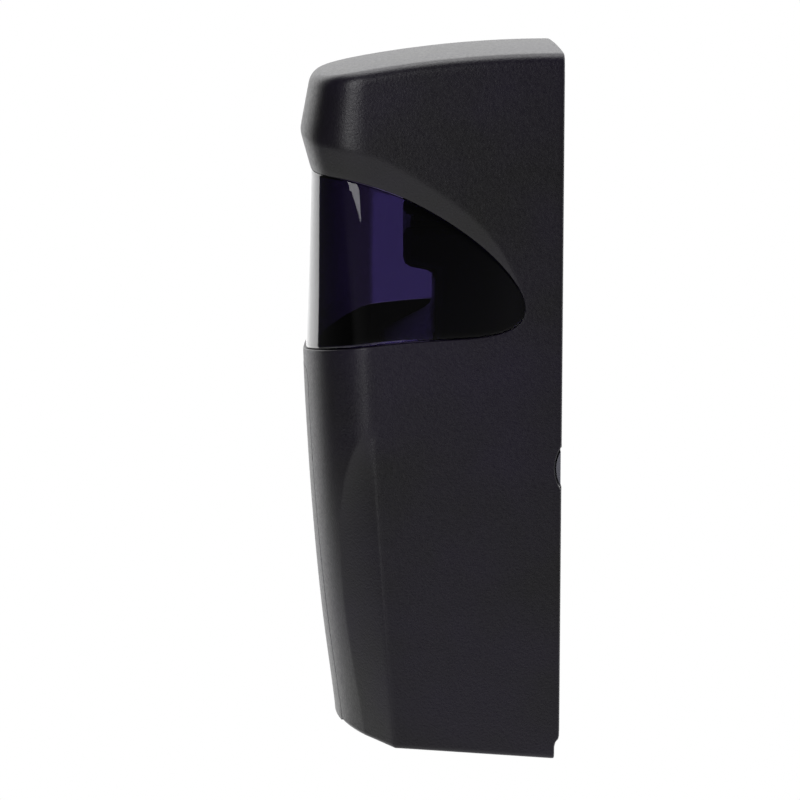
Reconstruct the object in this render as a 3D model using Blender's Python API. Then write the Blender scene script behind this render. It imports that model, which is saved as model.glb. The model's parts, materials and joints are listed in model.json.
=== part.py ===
"""Wall mounted soap dispenser: drop-down cover with a swept window, push lever, reservoir and piston pump.

Metres, +Z up. The wall is the plane Y = 0, the front faces -Y and X = 0 is the plane of symmetry.
Heights in this file are measured up from the cover's lower rear edge. The root empty then lowers
everything by ORIGIN_HEIGHT, so that the origin is on the back plate's rear face, at its middle.
"""

import math

import bmesh
import bpy
from mathutils import Matrix, Vector

MM = 0.001

# ---------------------------------------------------------------- overall size
HEIGHT = 278.0 * MM  # lower rear edge to the roof at the wall
WIDTH = 130.0 * MM
DEPTH = 102.7 * MM  # wall to the brow, the most forward line

# ---------------------------------------------------------------- clearances
GAP = 0.3 * MM  # pieces that touch or are cut by each other
PIN_GAP = 0.15 * MM  # radial, pin in its hole
LEVER_GAP = 0.6 * MM  # round the lever, in the cover's cut-out
REAR_GAP = 0.5 * MM  # the cover's rear edge stays off the wall
PLATE_GAP = 0.8 * MM  # back plate to the inside of the cover's side
OVERLAP = 1.0 * MM  # how far joined solids run into each other, and cutters past a face

# ---------------------------------------------------------------- cover
COVER_WALL = 2.4 * MM
ROOF_DROP = 8.2 * MM  # fall of the roof from the wall to ROOF_REACH in front of it
ROOF_REACH = 85.0 * MM
ROOF_CROWN = 0.8 * MM  # the roof is this much lower at its side edges
ROOF_FILLET_SIDE = 5.0 * MM
ROOF_FILLET_FRONT = 4.0 * MM
FLOOR_RISE = 5.0 * MM  # the floor rises this much from the wall to the end of the flat side
FLOOR_FILLET = 1.6 * MM
MIN_FILLET = 0.3 * MM
SHOULDER = 28.7 / 130 * WIDTH  # the flat side ends this far behind the brow
BROW_DROP = 32.3 * MM  # top of the roof to the brow, at the front
BAND = 16.0 * MM  # brow to the window's upper edge, at the front
WINDOW_HEIGHT = 74.7 * MM  # at the front
TIP_RISE = 24.4 * MM  # window's lower edge at the front to the height of its rear tip
TIP_SETBACK = 14.5 * MM  # wall to the window's rear tip
HOOD_SLOPE = 0.19  # the hood's front leans back by this share of its height
HOOD_POWER = 2.84  # exponent of the hood's plan curve; at the window's lower edge it is 2, an ellipse
FRONT_RADIUS = 99 / 130 * WIDTH  # plan radius of the lower front
FACET_TOP = 131.0 * MM  # height where the corner facet starts as a point
NOTCH_RADIUS = 14.3 * MM  # finger notch in each rear edge
NOTCH_DEPTH = 2.8 * MM
NOTCH_HEIGHT = 116.9 * MM
STEP_HEIGHT = 7.7 * MM  # the rear edge steps forward below this height
STEP_DEPTH = 2.0 * MM
FLOOR_REAR = 12.0 * MM  # the floor stops this far from the wall
LEDGE = 0.5 * MM  # strip of floor left along each side wall behind there

# ---------------------------------------------------------------- window
LENS_WALL = 2.0 * MM
LENS_SILL_DEPTH = 1.1 * MM  # lens below the cover's surface along its lower edge

# ---------------------------------------------------------------- lever
LEVER_HALF = 0.2 * WIDTH
LEVER_WALL = 2.5 * MM
LEVER_RIB = 8.5 * MM  # depth of the lever's edge ribs, its wall included
LEVER_TOP_DROP = 5.0 * MM  # cut-out's upper edge below the window
LEVER_CORNER = 6.0 * MM
LEVER_SWING = math.radians(5.5)
PIVOT_DROP = 10.5 * MM  # lever axis below the cut-out's upper edge
PIVOT_SETBACK = 10.7 * MM  # lever axis behind the brow
PIVOT_PIN_RADIUS = 1.5 * MM
PIVOT_EAR = 4.0 * MM  # radius of the lever's ears and the cover's bosses round the axis
PIVOT_BOSS = 5.4 * MM  # length of each cover boss along the axis

# ---------------------------------------------------------------- back plate
PLATE_WALL = 3.0 * MM
PLATE_BOTTOM = 11.0 * MM
PLATE_TOP_DROP = 8.0 * MM  # below the roof
FLANGE_DEPTH = 11.0 * MM  # wall to the front edge of the plate's rim
FLANGE_WALL = 2.0 * MM
PLATE_CORNER = 6.0 * MM
KEYHOLE_RADIUS = 4.2 * MM
KEYHOLE_SLOT = 2.3 * MM
KEYHOLE_RUN = 8.0 * MM
KEYHOLE_INSET = 20.0 * MM  # from the plate's side edges
KEYHOLE_RISE = 32.0 * MM  # from the plate's lower and upper edges
HINGE_SETBACK = 6.0 * MM
HINGE_HEIGHT = 4.2 * MM
HINGE_LUG = 4.0 * MM  # lug radius round the hinge axis
HINGE_LUG_WIDTH = 6.0 * MM
HINGE_PIN_RADIUS = 1.5 * MM
HINGE_SKIN = 0.6 * MM  # cover wall left outside each blind pin hole
SHELF_REACH = 30.0 * MM  # brackets under the reservoir
SHELF_NOSE = 3.0 * MM
SHELF_X = 34.0 * MM
SHELF_WIDTH = 3.0 * MM

# ---------------------------------------------------------------- reservoir
TANK_WALL = 2.4 * MM
TANK_SIDE_GAP = 9.0 * MM  # tank to the cover's outer side
TANK_REAR = 8.0 * MM
TANK_FRONT = 49.5 * MM
TANK_BELLY_SETBACK = 2.0 * MM  # front of the deeper lower half behind the end of the cover's flat side
TANK_LIP = 61.7 * MM  # front of the filler lip
TANK_BOTTOM = 52.0 * MM
TANK_SHOULDER = 11.0 * MM  # top of the lower half above the window's lower edge
TANK_SHOULDER_FALL = 10.0 * MM
LIP_TOP = 55.0 * MM  # above the window's lower edge
LIP_HEIGHT = 15.0 * MM
NECK_INSET = 19.5 * MM  # filler neck's side to the reservoir's side
NECK_FRONT = 57.5 * MM
NECK_REAR = 24.0 * MM
NECK_HEIGHT = 5.0 * MM
NECK_WALL = 2.5 * MM
TANK_EDGE = 3.0 * MM

# ---------------------------------------------------------------- lid
LID_INSET = 16.0 * MM  # lid's side to the reservoir's side
LID_REAR = 20.0 * MM
LID_WALL = 2.4 * MM
LID_LIFT = 3.0 * MM  # skirt's lower edge above the tank lip
LID_HEIGHT = 13.0 * MM
LID_EDGE = 2.5 * MM
LID_AXIS_SETBACK = 16.5 * MM
LID_AXIS_RISE = 5.5 * MM  # above the tank lip
LID_KNUCKLE = 3.0 * MM
LID_PIN_RADIUS = 1.25 * MM
LID_KNUCKLE_INSET = 29.0 * MM  # inner end of each knuckle to the reservoir's side
LID_KNUCKLE_WIDTH = 6.0 * MM
SEAL_HEIGHT = 2.0 * MM

# ---------------------------------------------------------------- pump
PUMP_HEIGHT = 30.0 * MM
PUMP_REAR = 23.0 * MM
PUMP_FRONT = 66.0 * MM
PUMP_BORE = 9.6 * MM
PUMP_WALL = 2.4 * MM
PUMP_FLANGE_HEIGHT = PUMP_BORE + 3.9 * MM
PUMP_FLANGE_WALL = 3.0 * MM
PUMP_SCREW_X = PUMP_BORE + 8.9 * MM
PUMP_FLANGE_HALF = PUMP_SCREW_X + 5.5 * MM
PORT_SETBACK = 40.0 * MM  # inlet and outlet, wall to their common axis
INLET_RADIUS = 8.0 * MM
INLET_FLANGE = 11.0 * MM
INLET_FLANGE_WALL = 2.5 * MM
INLET_BORE = 4.6 * MM
INLET_THROAT = 2.6 * MM
BALL_RADIUS = 3.6 * MM
BALL_SEAT_DROP = 2.5 * MM  # ledge under the ball, below the inlet's upper face
BALL_SLOT = 0.8 * MM  # half width of the slots that let soap flow down past the resting ball
BALL_SLOT_DEPTH = 1.5 * MM
BALL_SLOT_REACH = 4.2 * MM
GASKET_HEIGHT = 3.4 * MM
GASKET_RADIUS = 10.0 * MM
TANK_OUTLET = 3.0 * MM
OUTLET_RADIUS = 6.0 * MM
OUTLET_BORE = 3.2 * MM
OUTLET_DROP = PUMP_BORE + 7.4 * MM  # lower end of the outlet below the pump's axis
CAP_RADIUS = PUMP_BORE + 4.4 * MM
CAP_WALL = 2.7 * MM
CAP_SKIRT = 8.0 * MM
PISTON_GAP = 0.3 * MM
PISTON_HEAD = 4.0 * MM
PISTON_ROD = 4.5 * MM
RING_SECTION = 0.7 * MM
PAD_HALF = 4.0 * MM  # half width of the lever's push pad, and the radius of its round nose
PAD_SETBACK = 19.0 * MM  # lever's push pad behind the brow

# ---------------------------------------------------------------- nozzle and valve
NOZZLE_WALL = 2.2 * MM
NOZZLE_SKIRT = 6.0 * MM
NOZZLE_FLOOR = 1.6 * MM
SPOUT_RADIUS = 4.2 * MM
SPOUT_BORE = 2.8 * MM
SPOUT_LENGTH = 3.5 * MM
VALVE_FLANGE = 1.4 * MM
VALVE_LIP = 2.4 * MM
VALVE_TIP = 1.3 * MM
VALVE_BORE = 0.7 * MM
OPENING_REAR = 28.0 * MM  # rear edge of the opening under the pump, in the cover's floor

# ---------------------------------------------------------------- release tabs
TAB_HEIGHT = 15.0 * MM
TAB_FRONT = 7.5 * MM
TAB_LENGTH = 8.2 * MM
TAB_TRAVEL = 2.5 * MM
TAB_SHY = 0.6 * MM  # tab's nose inside the cover's side
TAB_SPRING_LENGTH = 13.0 * MM
TAB_SPRING_RADIUS = 1.8 * MM
TAB_POST = 3.5 * MM

# ---------------------------------------------------------------- screws and springs
SCREW_RADIUS = 1.5 * MM
SCREW_HEAD = 3.4 * MM
SCREW_HEAD_FLAT = 0.7  # share of the head's radius that is flat
SCREW_SLOT_LENGTH = 0.5  # share of the head's radius
SCREW_SLOT_DEPTH = 0.45  # share of the head's height
SCREW_HEAD_HEIGHT = 2.4 * MM
SCREW_SLOT = 0.45 * MM  # half width of the cross slot
SCREW_BOSS = 4.5 * MM
PUMP_SCREW_BITE = 10.0 * MM  # thread in the back plate
TANK_SCREW_BITE = 3.5 * MM
TANK_SCREW_INSET = 8.0 * MM  # from the reservoir's sides
TANK_EAR_HALF = 5.0 * MM
TANK_EAR_HEIGHT = 12.0 * MM
TANK_EAR_WALL = 3.0 * MM
PUMP_SPRING_RADIUS = PUMP_BORE - 2.0 * MM
PUMP_SPRING_WIRE = 0.6 * MM
PUMP_SPRING_TURNS = 6
TAB_SPRING_WIRE = 0.35 * MM
TAB_SPRING_TURNS = 6

# ---------------------------------------------------------------- derived levels
HALF = WIDTH / 2
BROW = HEIGHT - BROW_DROP
WINDOW_TOP = BROW - BAND
SILL = WINDOW_TOP - WINDOW_HEIGHT
TIP = SILL + TIP_RISE
PLATE_HALF = HALF - COVER_WALL - PLATE_GAP
PLATE_TOP = HEIGHT - PLATE_TOP_DROP
ORIGIN_HEIGHT = (PLATE_BOTTOM + PLATE_TOP) / 2
TANK_HALF = HALF - TANK_SIDE_GAP
TANK_BELLY = DEPTH - SHOULDER - TANK_BELLY_SETBACK
TANK_SCREW_X = TANK_HALF - TANK_SCREW_INSET
NECK_HALF = TANK_HALF - NECK_INSET
LID_HALF = TANK_HALF - LID_INSET
LID_KNUCKLE_X = TANK_HALF - LID_KNUCKLE_INSET
TANK_TOP = SILL + LIP_TOP
EAR_MIDDLE = TANK_TOP + TANK_EAR_HEIGHT / 2
SLOT_TOP = SILL - LEVER_TOP_DROP
PIVOT = Vector((0, -(DEPTH - PIVOT_SETBACK), SLOT_TOP - PIVOT_DROP))
HINGE = Vector((0, -HINGE_SETBACK, HINGE_HEIGHT))
LID_AXIS = Vector((0, -LID_AXIS_SETBACK, TANK_TOP + LID_AXIS_RISE))
PAD_FACE = DEPTH - PAD_SETBACK
INLET_TOP = TANK_BOTTOM - GASKET_HEIGHT - 2 * GAP
BALL_LEDGE = INLET_TOP - BALL_SEAT_DROP
OUTLET_END = PUMP_HEIGHT - OUTLET_DROP
PORT = Vector((0, -PORT_SETBACK, 0))
TAB_NOSE = HALF - TAB_SHY
TAB_INNER = PLATE_HALF - TAB_LENGTH

# ---------------------------------------------------------------- resolution
FRONT_COLUMNS = 10
SIDE_COLUMNS = 7
REAR_COLUMNS = 2
TIP_COLUMN = FRONT_COLUMNS + 1 + SIDE_COLUMNS
LAST_COLUMN = TIP_COLUMN + REAR_COLUMNS
LEVER_COLUMNS = 8
LEVER_ROWS = 10
ROUND = 20  # sides of a small turned piece
NOTCH_SIDES = 64
BIG_ROUND = 28  # sides of the pump's cylinder and what fits in it
PIN_SIDES = 12
SMOOTH = math.radians(32)  # sharper edges are shaded as corners
MERGE = 0.001 * MM  # points closer than this are one point
SAME = 0.0001 * MM  # neighbouring outline points closer than this give no direction
FLAT = math.radians(0.02)  # faces closer than this to one plane are flat

# Outline curves, as (share of the way, share of the rise) pairs.
LOWER_SETBACK = ((0.0, 12.9), (0.045, 12.7), (0.32, 7.4), (0.59, 3.7), (0.86, 1.2), (1.0, 0.3))
SIDE_SETBACK = ((0.0, 9.1), (0.37, 4.8), (0.69, 1.8), (1.0, 0.0))
FACET_EDGE = ((0.0, 0.754), (0.43, 0.746), (0.69, 0.81), (0.82, 0.877), (0.91, 0.938), (1.0, 1.0))
UPPER_LINE = ((0, 0), (0.17, 0.2), (0.37, 0.505), (0.52, 0.746), (0.62, 0.89), (0.73, 0.985), (1, 1))
LOWER_LINE = ((0, 0), (0.1, 0.2), (0.22, 0.357), (0.34, 0.455), (0.6, 0.557), (0.83, 0.795), (1, 1))
BROW_LINE = ((0, 0), (0.17, 0.175), (0.27, 0.35), (0.37, 0.507), (0.51, 0.698), (0.67, 0.899), (1, 1))
RECESS = ((0.0, 0.0), (0.17, 0.8), (0.37, 1.9), (0.55, 2.7), (0.67, 3.1), (1.0, 4.2))


# ================================================================ small helpers
def curve_value(points, at):
    """Height of a smooth curve through (x, y) points, read at one x."""
    at = min(max(at, points[0][0]), points[-1][0])
    slopes = []
    for k in range(len(points)):
        before = points[max(k - 1, 0)]
        after = points[min(k + 1, len(points) - 1)]
        slopes.append((after[1] - before[1]) / (after[0] - before[0]))
    for k in range(len(points) - 1):
        (x0, y0), (x1, y1) = points[k], points[k + 1]
        if at <= x1:
            break
    span = x1 - x0
    t = (at - x0) / span
    rise = (3 - 2 * t) * t * t
    return (
        y0 * (1 - rise)
        + y1 * rise
        + slopes[k] * span * t * (1 - t) ** 2
        - slopes[k + 1] * span * t * t * (1 - t)
    )


def ease(t):
    """Smooth step from 0 to 1."""
    t = min(max(t, 0.0), 1.0)
    return t * t * (3 - 2 * t)


def offset_outline(points, distance):
    """Move a closed outline of (a, b) points inwards; the outline runs anticlockwise."""
    moved = []
    for k, here in enumerate(points):
        before = Vector(points[k - 1])
        after = Vector(points[(k + 1) % len(points)])
        here = Vector(here)
        first = (here - before).normalized()
        second = (after - here).normalized()
        normal_a = Vector((-first.y, first.x))
        normal_b = Vector((-second.y, second.x))
        middle = (normal_a + normal_b) / (1 + normal_a.dot(normal_b))
        moved.append(tuple(here + middle * distance))
    return moved


# ================================================================ scene helpers
def clear_scene():
    for old in list(bpy.data.objects):
        bpy.data.objects.remove(old, do_unlink=True)


def make_object(name, bm):
    """Turn a bmesh into a linked object with its faces pointing out."""
    bmesh.ops.recalc_face_normals(bm, faces=bm.faces)
    mesh = bpy.data.meshes.new(name)
    bm.to_mesh(mesh)
    bm.free()
    result = bpy.data.objects.new(name, mesh)
    bpy.context.scene.collection.objects.link(result)
    return result


def combine(target, tool, operation):
    """Join, cut or intersect the target with a tool, which is used up."""
    modifier = target.modifiers.new(operation, "BOOLEAN")
    modifier.object = tool
    modifier.operation = operation
    modifier.solver = "EXACT"
    depsgraph = bpy.context.evaluated_depsgraph_get()
    result = bpy.data.meshes.new_from_object(target.evaluated_get(depsgraph))
    used = (target.data, tool.data)
    target.modifiers.clear()
    target.data = result
    bpy.data.objects.remove(tool)
    for mesh in used:
        bpy.data.meshes.remove(mesh)
    return flat_faces(target)


def flat_faces(target):
    """Merge points that coincide and split every face into triangles, which are always flat."""
    bm = bmesh.new()
    bm.from_mesh(target.data)
    bmesh.ops.remove_doubles(bm, verts=bm.verts, dist=MERGE)
    bmesh.ops.triangulate(bm, faces=bm.faces)
    bm.to_mesh(target.data)
    bm.free()
    return target


def cut(target, *tools):
    for tool in tools:
        combine(target, tool, "DIFFERENCE")
    return target


def join(target, *tools):
    for tool in tools:
        combine(target, tool, "UNION")
    return target


def round_edges(target, width, segments=2, angle=40.0):
    """Round every edge sharper than the angle."""
    bm = bmesh.new()
    bm.from_mesh(target.data)
    limit = math.radians(angle)
    sharp = [edge for edge in bm.edges if edge.calc_face_angle(0.0) > limit]
    bmesh.ops.bevel(bm, geom=sharp, offset=width, segments=segments, profile=0.5, affect="EDGES")
    bm.to_mesh(target.data)
    bm.free()
    return target


# ================================================================ solids
def box(x, y, z, name="box"):
    """Box between two limits on each axis."""
    bm = bmesh.new()
    bmesh.ops.create_cube(bm, size=1.0)
    size = Vector((abs(x[1] - x[0]), abs(y[1] - y[0]), abs(z[1] - z[0])))
    centre = Vector((sum(x), sum(y), sum(z))) / 2
    bmesh.ops.scale(bm, vec=size, verts=bm.verts)
    bmesh.ops.translate(bm, vec=centre, verts=bm.verts)
    return make_object(name, bm)


def prism(outline, x, name="prism"):
    """Extrude a (y, z) outline along X between two limits."""
    bm = bmesh.new()
    ends = [[bm.verts.new((at, p[0], p[1])) for p in outline] for at in x]
    count = len(outline)
    bm.faces.new(ends[0])
    bm.faces.new(list(reversed(ends[1])))
    for k in range(count):
        other = (k + 1) % count
        bm.faces.new((ends[0][k], ends[1][k], ends[1][other], ends[0][other]))
    return make_object(name, bm)


def turned(profile, start, axis, name="turned", sides=ROUND):
    """Turn a (radius, distance) profile round an axis through start.

    A profile that starts and ends at radius 0 gives a solid; any other is closed into a ring.
    """
    axis = Vector(axis).normalized()
    frame = axis.to_track_quat("Z", "Y").to_matrix()
    bm = bmesh.new()
    rings = []
    for radius, distance in profile:
        count = sides if radius > 0 else 1
        ring = []
        for k in range(count):
            angle = 2 * math.pi * k / sides
            spot = Vector((radius * math.cos(angle), radius * math.sin(angle), distance))
            ring.append(bm.verts.new(Vector(start) + frame @ spot))
        rings.append(ring)
    pairs = list(zip(rings, rings[1:]))
    if profile[0][0] > 0:
        pairs.append((rings[-1], rings[0]))
    for first, second in pairs:
        bridge(bm, first, second, sides)
    return make_object(name, bm)


def bridge(bm, first, second, sides):
    """Faces between two rings, either of which may be a single point."""
    for k in range(sides):
        n = (k + 1) % sides
        corners = [ring[at % len(ring)] for ring, at in ((first, k), (first, n), (second, n), (second, k))]
        unique = list(dict.fromkeys(corners))
        if len(unique) > 2:
            bm.faces.new(unique)


def rod(radius, start, end, name="rod", sides=ROUND):
    """Plain round bar from start to end."""
    start, end = Vector(start), Vector(end)
    length = (end - start).length
    return turned(((0, 0), (radius, 0), (radius, length), (0, length)), start, end - start, name, sides)


def tube(outer, inner, start, end, name="tube", sides=ROUND):
    start, end = Vector(start), Vector(end)
    length = (end - start).length
    profile = ((inner, 0), (outer, 0), (outer, length), (inner, length))
    return turned(profile, start, end - start, name, sides)


def coil(radius, wire, start, end, turns, name, steps=12, sides=5):
    """Round wire wound round the axis from start to end."""
    start, end = Vector(start), Vector(end)
    axis = end - start
    frame = axis.to_track_quat("Z", "Y").to_matrix()
    climb = axis.length - 2 * wire
    bm = bmesh.new()
    rings = []
    for k in range(turns * steps + 1):
        angle = 2 * math.pi * k / steps
        outward = Vector((math.cos(angle), math.sin(angle), 0))
        centre = outward * radius + Vector((0, 0, wire + climb * k / (turns * steps)))
        ring = []
        for s in range(sides):
            around = 2 * math.pi * s / sides
            spot = centre + wire * (math.cos(around) * outward + math.sin(around) * Vector((0, 0, 1)))
            ring.append(bm.verts.new(start + frame @ spot))
        rings.append(ring)
    for first, second in zip(rings, rings[1:]):
        bridge(bm, first, second, sides)
    bm.faces.new(rings[0])
    bm.faces.new(list(reversed(rings[-1])))
    return make_object(name, bm)


def grid_shell(outer, inner, keep, name):
    """Close the space between two matching grids of points into one shell.

    Points that coincide on the outer grid become one, so rows and columns may run together.
    keep(c, r) says which cells exist; the edges of the kept area get a rim.
    """
    bm = bmesh.new()
    number = {}
    outer_verts = []
    inner_verts = []

    def vertex(c, r):
        key = tuple(round(value, 7) + 0.0 for value in outer[c][r])
        if key not in number:
            number[key] = len(outer_verts)
            outer_verts.append(bm.verts.new(outer[c][r]))
            inner_verts.append(bm.verts.new(inner[c][r]))
        return number[key]

    edges = set()
    for c in range(len(outer) - 1):
        for r in range(len(outer[0]) - 1):
            if not keep(c, r):
                continue
            corners = (vertex(c, r), vertex(c + 1, r), vertex(c + 1, r + 1), vertex(c, r + 1))
            corners = list(dict.fromkeys(corners))
            if len(corners) < 3:
                continue
            bm.faces.new([outer_verts[k] for k in corners])
            bm.faces.new([inner_verts[k] for k in reversed(corners)])
            edges.update(zip(corners, corners[1:] + corners[:1]))
    for a, b in sorted(edges):
        if (b, a) not in edges:
            bm.faces.new((outer_verts[b], outer_verts[a], inner_verts[a], inner_verts[b]))
    loose = [v for v in bm.verts if not v.link_faces]
    bmesh.ops.delete(bm, geom=loose, context="VERTS")
    bmesh.ops.triangulate(bm, faces=bm.faces)
    return make_object(name, bm)


# ================================================================ the cover's outer surface
def centre_line(z):
    """Y of the front at X = 0."""
    if z > BROW:
        return -(DEPTH - HOOD_SLOPE * (z - BROW))
    if z > SILL:
        share = (z - SILL) / (BROW - SILL)
        return -(DEPTH - LOWER_SETBACK[-1][1] * MM * (1 - share))
    return -(DEPTH - curve_value(LOWER_SETBACK, z / SILL) * MM)


def side_end(z):
    """Y where the flat side meets the front."""
    return -(DEPTH - SHOULDER - curve_value(SIDE_SETBACK, z / SILL) * MM)


def front_y(x, z):
    """Y of the front surface: a squarish ellipse at the top that eases into an arc at the bottom."""
    middle = centre_line(z)
    reach = min(abs(x) / HALF, 1.0)
    power = 2 + (HOOD_POWER - 2) * ease((z - SILL) / (BROW - SILL))
    ellipse = (side_end(z) - middle) * (1 - (1 - reach**power) ** (1 / power))
    arc = FRONT_RADIUS - math.sqrt(FRONT_RADIUS**2 - x * x)
    share = ease(1 - z / (0.9 * SILL))
    return middle + ellipse * (1 - share) + arc * share


def facet_edge(z):
    """X of the facet's front edge; at HALF the facet has no width."""
    return HALF * curve_value(FACET_EDGE, z / FACET_TOP)


def plan_outline(z):
    """One half of the plan at a height, from the front's middle to the rear edge."""
    edge = facet_edge(z)
    points = []
    for k in range(FRONT_COLUMNS + 1):
        x = edge * math.sin(math.pi / 2 * k / FRONT_COLUMNS)
        points.append(Vector((x, front_y(x, z))))
    corner = side_end(z)
    points.append(Vector((HALF, corner)))
    for k in range(1, SIDE_COLUMNS + 1):
        left = 1 - k / SIDE_COLUMNS
        points.append(Vector((HALF, -TIP_SETBACK + (corner + TIP_SETBACK) * left * left)))
    for k in range(1, REAR_COLUMNS + 1):
        left = 1 - k / REAR_COLUMNS
        points.append(Vector((HALF, -REAR_GAP - (TIP_SETBACK - REAR_GAP) * left)))
    return points


def outward(points, k):
    """Mitred outward direction of an outline at point k, ignoring runs of no length."""
    here = points[k]
    before = next((here - p for p in reversed(points[:k]) if (here - p).length > SAME), None)
    after = next((p - here for p in points[k + 1 :] if (p - here).length > SAME), None)
    if before is None:
        return Vector((0, -1))
    if after is None:
        return Vector((1, 0))
    before.normalize()
    after.normalize()
    first = Vector((before.y, -before.x))
    second = Vector((after.y, -after.x))
    return (first + second) / (1 + first.dot(second))


def wall_point(column, z, inset):
    """Point of a column at a height, moved in from the outer surface."""
    points = plan_outline(z)
    k = abs(column)
    spot = points[k] - outward(points, k) * inset
    return Vector((math.copysign(spot.x, column) if column else 0.0, spot.y, z))


def way_from_tip(column):
    """Share of the way from the window's rear tip to the front's middle, as a square root."""
    points = plan_outline((SILL + WINDOW_TOP) / 2)
    lengths = [(b - a).length for a, b in zip(points, points[1:TIP_COLUMN + 1])]
    k = abs(column)
    return math.sqrt(max(sum(lengths[k:]), 0.0) / sum(lengths))


def window_top(way):
    return TIP + (WINDOW_TOP - TIP) * curve_value(UPPER_LINE, way)


def window_bottom(way):
    return TIP - TIP_RISE * curve_value(LOWER_LINE, way)


def brow_height(way):
    return TIP + (BROW - TIP) * curve_value(BROW_LINE, way)


def recess(way):
    """How far the window's upper edge lies below the outer surface."""
    return curve_value(RECESS, way) * MM


def roof_height(x, y):
    return HEIGHT - ROOF_DROP * (y / ROOF_REACH) ** 2 - ROOF_CROWN * (x / HALF) ** 2


def floor_height(y):
    return FLOOR_RISE * min(abs(y) / (DEPTH - SHOULDER), 1.0)


# ================================================================ cover shell
FLOOR_ROWS = (1.0, 0.5)
LOWER_ROWS = (0.15, 0.32, 0.5, 0.68, 0.84, 1.0)
SILL_ROWS = (0.5, 1.0)
BAND_ROWS = (0.0, 1.0)
HOOD_ROWS = (0.25, 0.5, 0.75, 1.0)
ROOF_ROWS = (0.5, 1.0)
FLOOR_STEPS = 2
ROOF_STEPS = 3


def toward_middle(edge, share, height):
    """Slide a roof or floor point towards the plane of symmetry; the front ones meet at one spot."""
    middle_y = max(edge.y, side_end(edge.z))
    x = edge.x * (1 - share)
    y = edge.y + (middle_y - edge.y) * share
    return Vector((x, y, height(x, y)))


def cover_column(column, wall):
    """Points of one column from the middle of the floor, up the wall, to the middle of the roof."""
    way = way_from_tip(column)
    points = []

    radius = max(FLOOR_FILLET - wall, MIN_FILLET)
    start = wall_point(column, FLOOR_RISE, wall + radius)
    floor = floor_height(start.y) + wall
    for share in FLOOR_ROWS:
        points.append(toward_middle(start, share, lambda x, y: floor_height(y) + wall))
    for k in range(FLOOR_STEPS + 1):
        angle = math.pi / 2 * k / FLOOR_STEPS
        inset = wall + radius * (1 - math.sin(angle))
        points.append(wall_point(column, floor + radius * (1 - math.cos(angle)), inset))

    z0 = floor + radius
    for share in LOWER_ROWS:
        points.append(wall_point(column, z0 + (FACET_TOP - z0) * share, wall))
    low = window_bottom(way)
    for share in SILL_ROWS:
        points.append(wall_point(column, FACET_TOP + (low - FACET_TOP) * share, wall))
    high = window_top(way)
    brow = brow_height(way)
    for share in BAND_ROWS:
        points.append(wall_point(column, high + (brow - high) * share, wall + recess(way) * (1 - share)))

    side = outward(plan_outline(BROW), abs(column)).x ** 2
    full = ROOF_FILLET_SIDE * side + ROOF_FILLET_FRONT * (1 - side)
    radius = max(full - wall, MIN_FILLET)
    corner = wall_point(column, HEIGHT - ROOF_FILLET_FRONT - ROOF_DROP, wall + radius)
    top = roof_height(corner.x, corner.y) - wall - radius
    for share in HOOD_ROWS:
        points.append(wall_point(column, brow + (top - brow) * share, wall))
    for k in range(1, ROOF_STEPS + 1):
        angle = math.pi / 2 * k / ROOF_STEPS
        inset = wall + radius * (1 - math.cos(angle))
        points.append(wall_point(column, top + radius * math.sin(angle), inset))
    edge = points[-1]
    for share in ROOF_ROWS:
        points.append(toward_middle(edge, share, lambda x, y: roof_height(x, y) - wall))
    return points


WINDOW_ROW = len(FLOOR_ROWS) + FLOOR_STEPS + len(LOWER_ROWS) + len(SILL_ROWS)


def cover_shell():
    """One-piece cover with its window opening, lever cut-out, finger notches and pivot bosses."""
    columns = range(-LAST_COLUMN, LAST_COLUMN + 1)
    outer = [cover_column(c, 0.0) for c in columns]
    inner = [cover_column(c, COVER_WALL) for c in columns]
    shell = grid_shell(outer, inner, lambda c, r: r != WINDOW_ROW, "cover_shell")
    for side in (-1, 1):
        join(shell, pivot_boss(side))
    cut(shell, lever_cutout(LEVER_HALF + LEVER_GAP, SLOT_TOP, LEVER_CORNER))
    reach = HALF + OVERLAP
    cut(
        shell,
        box((-reach, reach), (-STEP_DEPTH, OVERLAP), (-OVERLAP, STEP_HEIGHT)),
        floor_opening(),
        rod(PIVOT_PIN_RADIUS + PIN_GAP, PIVOT - bore_reach(), PIVOT + bore_reach()),
    )
    for side in (-1, 1):
        notch_axis = Vector((0, NOTCH_RADIUS - NOTCH_DEPTH, NOTCH_HEIGHT))
        inside = notch_axis + Vector((side * (HALF - COVER_WALL - OVERLAP), 0, 0))
        outside = notch_axis + Vector((side * reach, 0, 0))
        cut(shell, rod(NOTCH_RADIUS, inside, outside, sides=NOTCH_SIDES))
        inner_end = HINGE + Vector((side * (PLATE_HALF - OVERLAP), 0, 0))
        outer_end = HINGE + Vector((side * (HALF - HINGE_SKIN), 0, 0))
        cut(shell, rod(HINGE_PIN_RADIUS + PIN_GAP, inner_end, outer_end, sides=PIN_SIDES))
    return shell


def bore_reach():
    return Vector((LEVER_HALF + LEVER_GAP + PIVOT_BOSS + OVERLAP, 0, 0))


def pivot_boss(side):
    """Block inside the cover that holds one end of the lever's pin."""
    x = (LEVER_HALF + LEVER_GAP - OVERLAP, LEVER_HALF + LEVER_GAP + PIVOT_BOSS)
    front = front_y(x[1], PIVOT.z) + COVER_WALL / 2
    rear = PIVOT.y + PIVOT_EAR
    return box((side * x[0], side * x[1]), (front, rear), (PIVOT.z - PIVOT_EAR, PIVOT.z + PIVOT_EAR))


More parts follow.
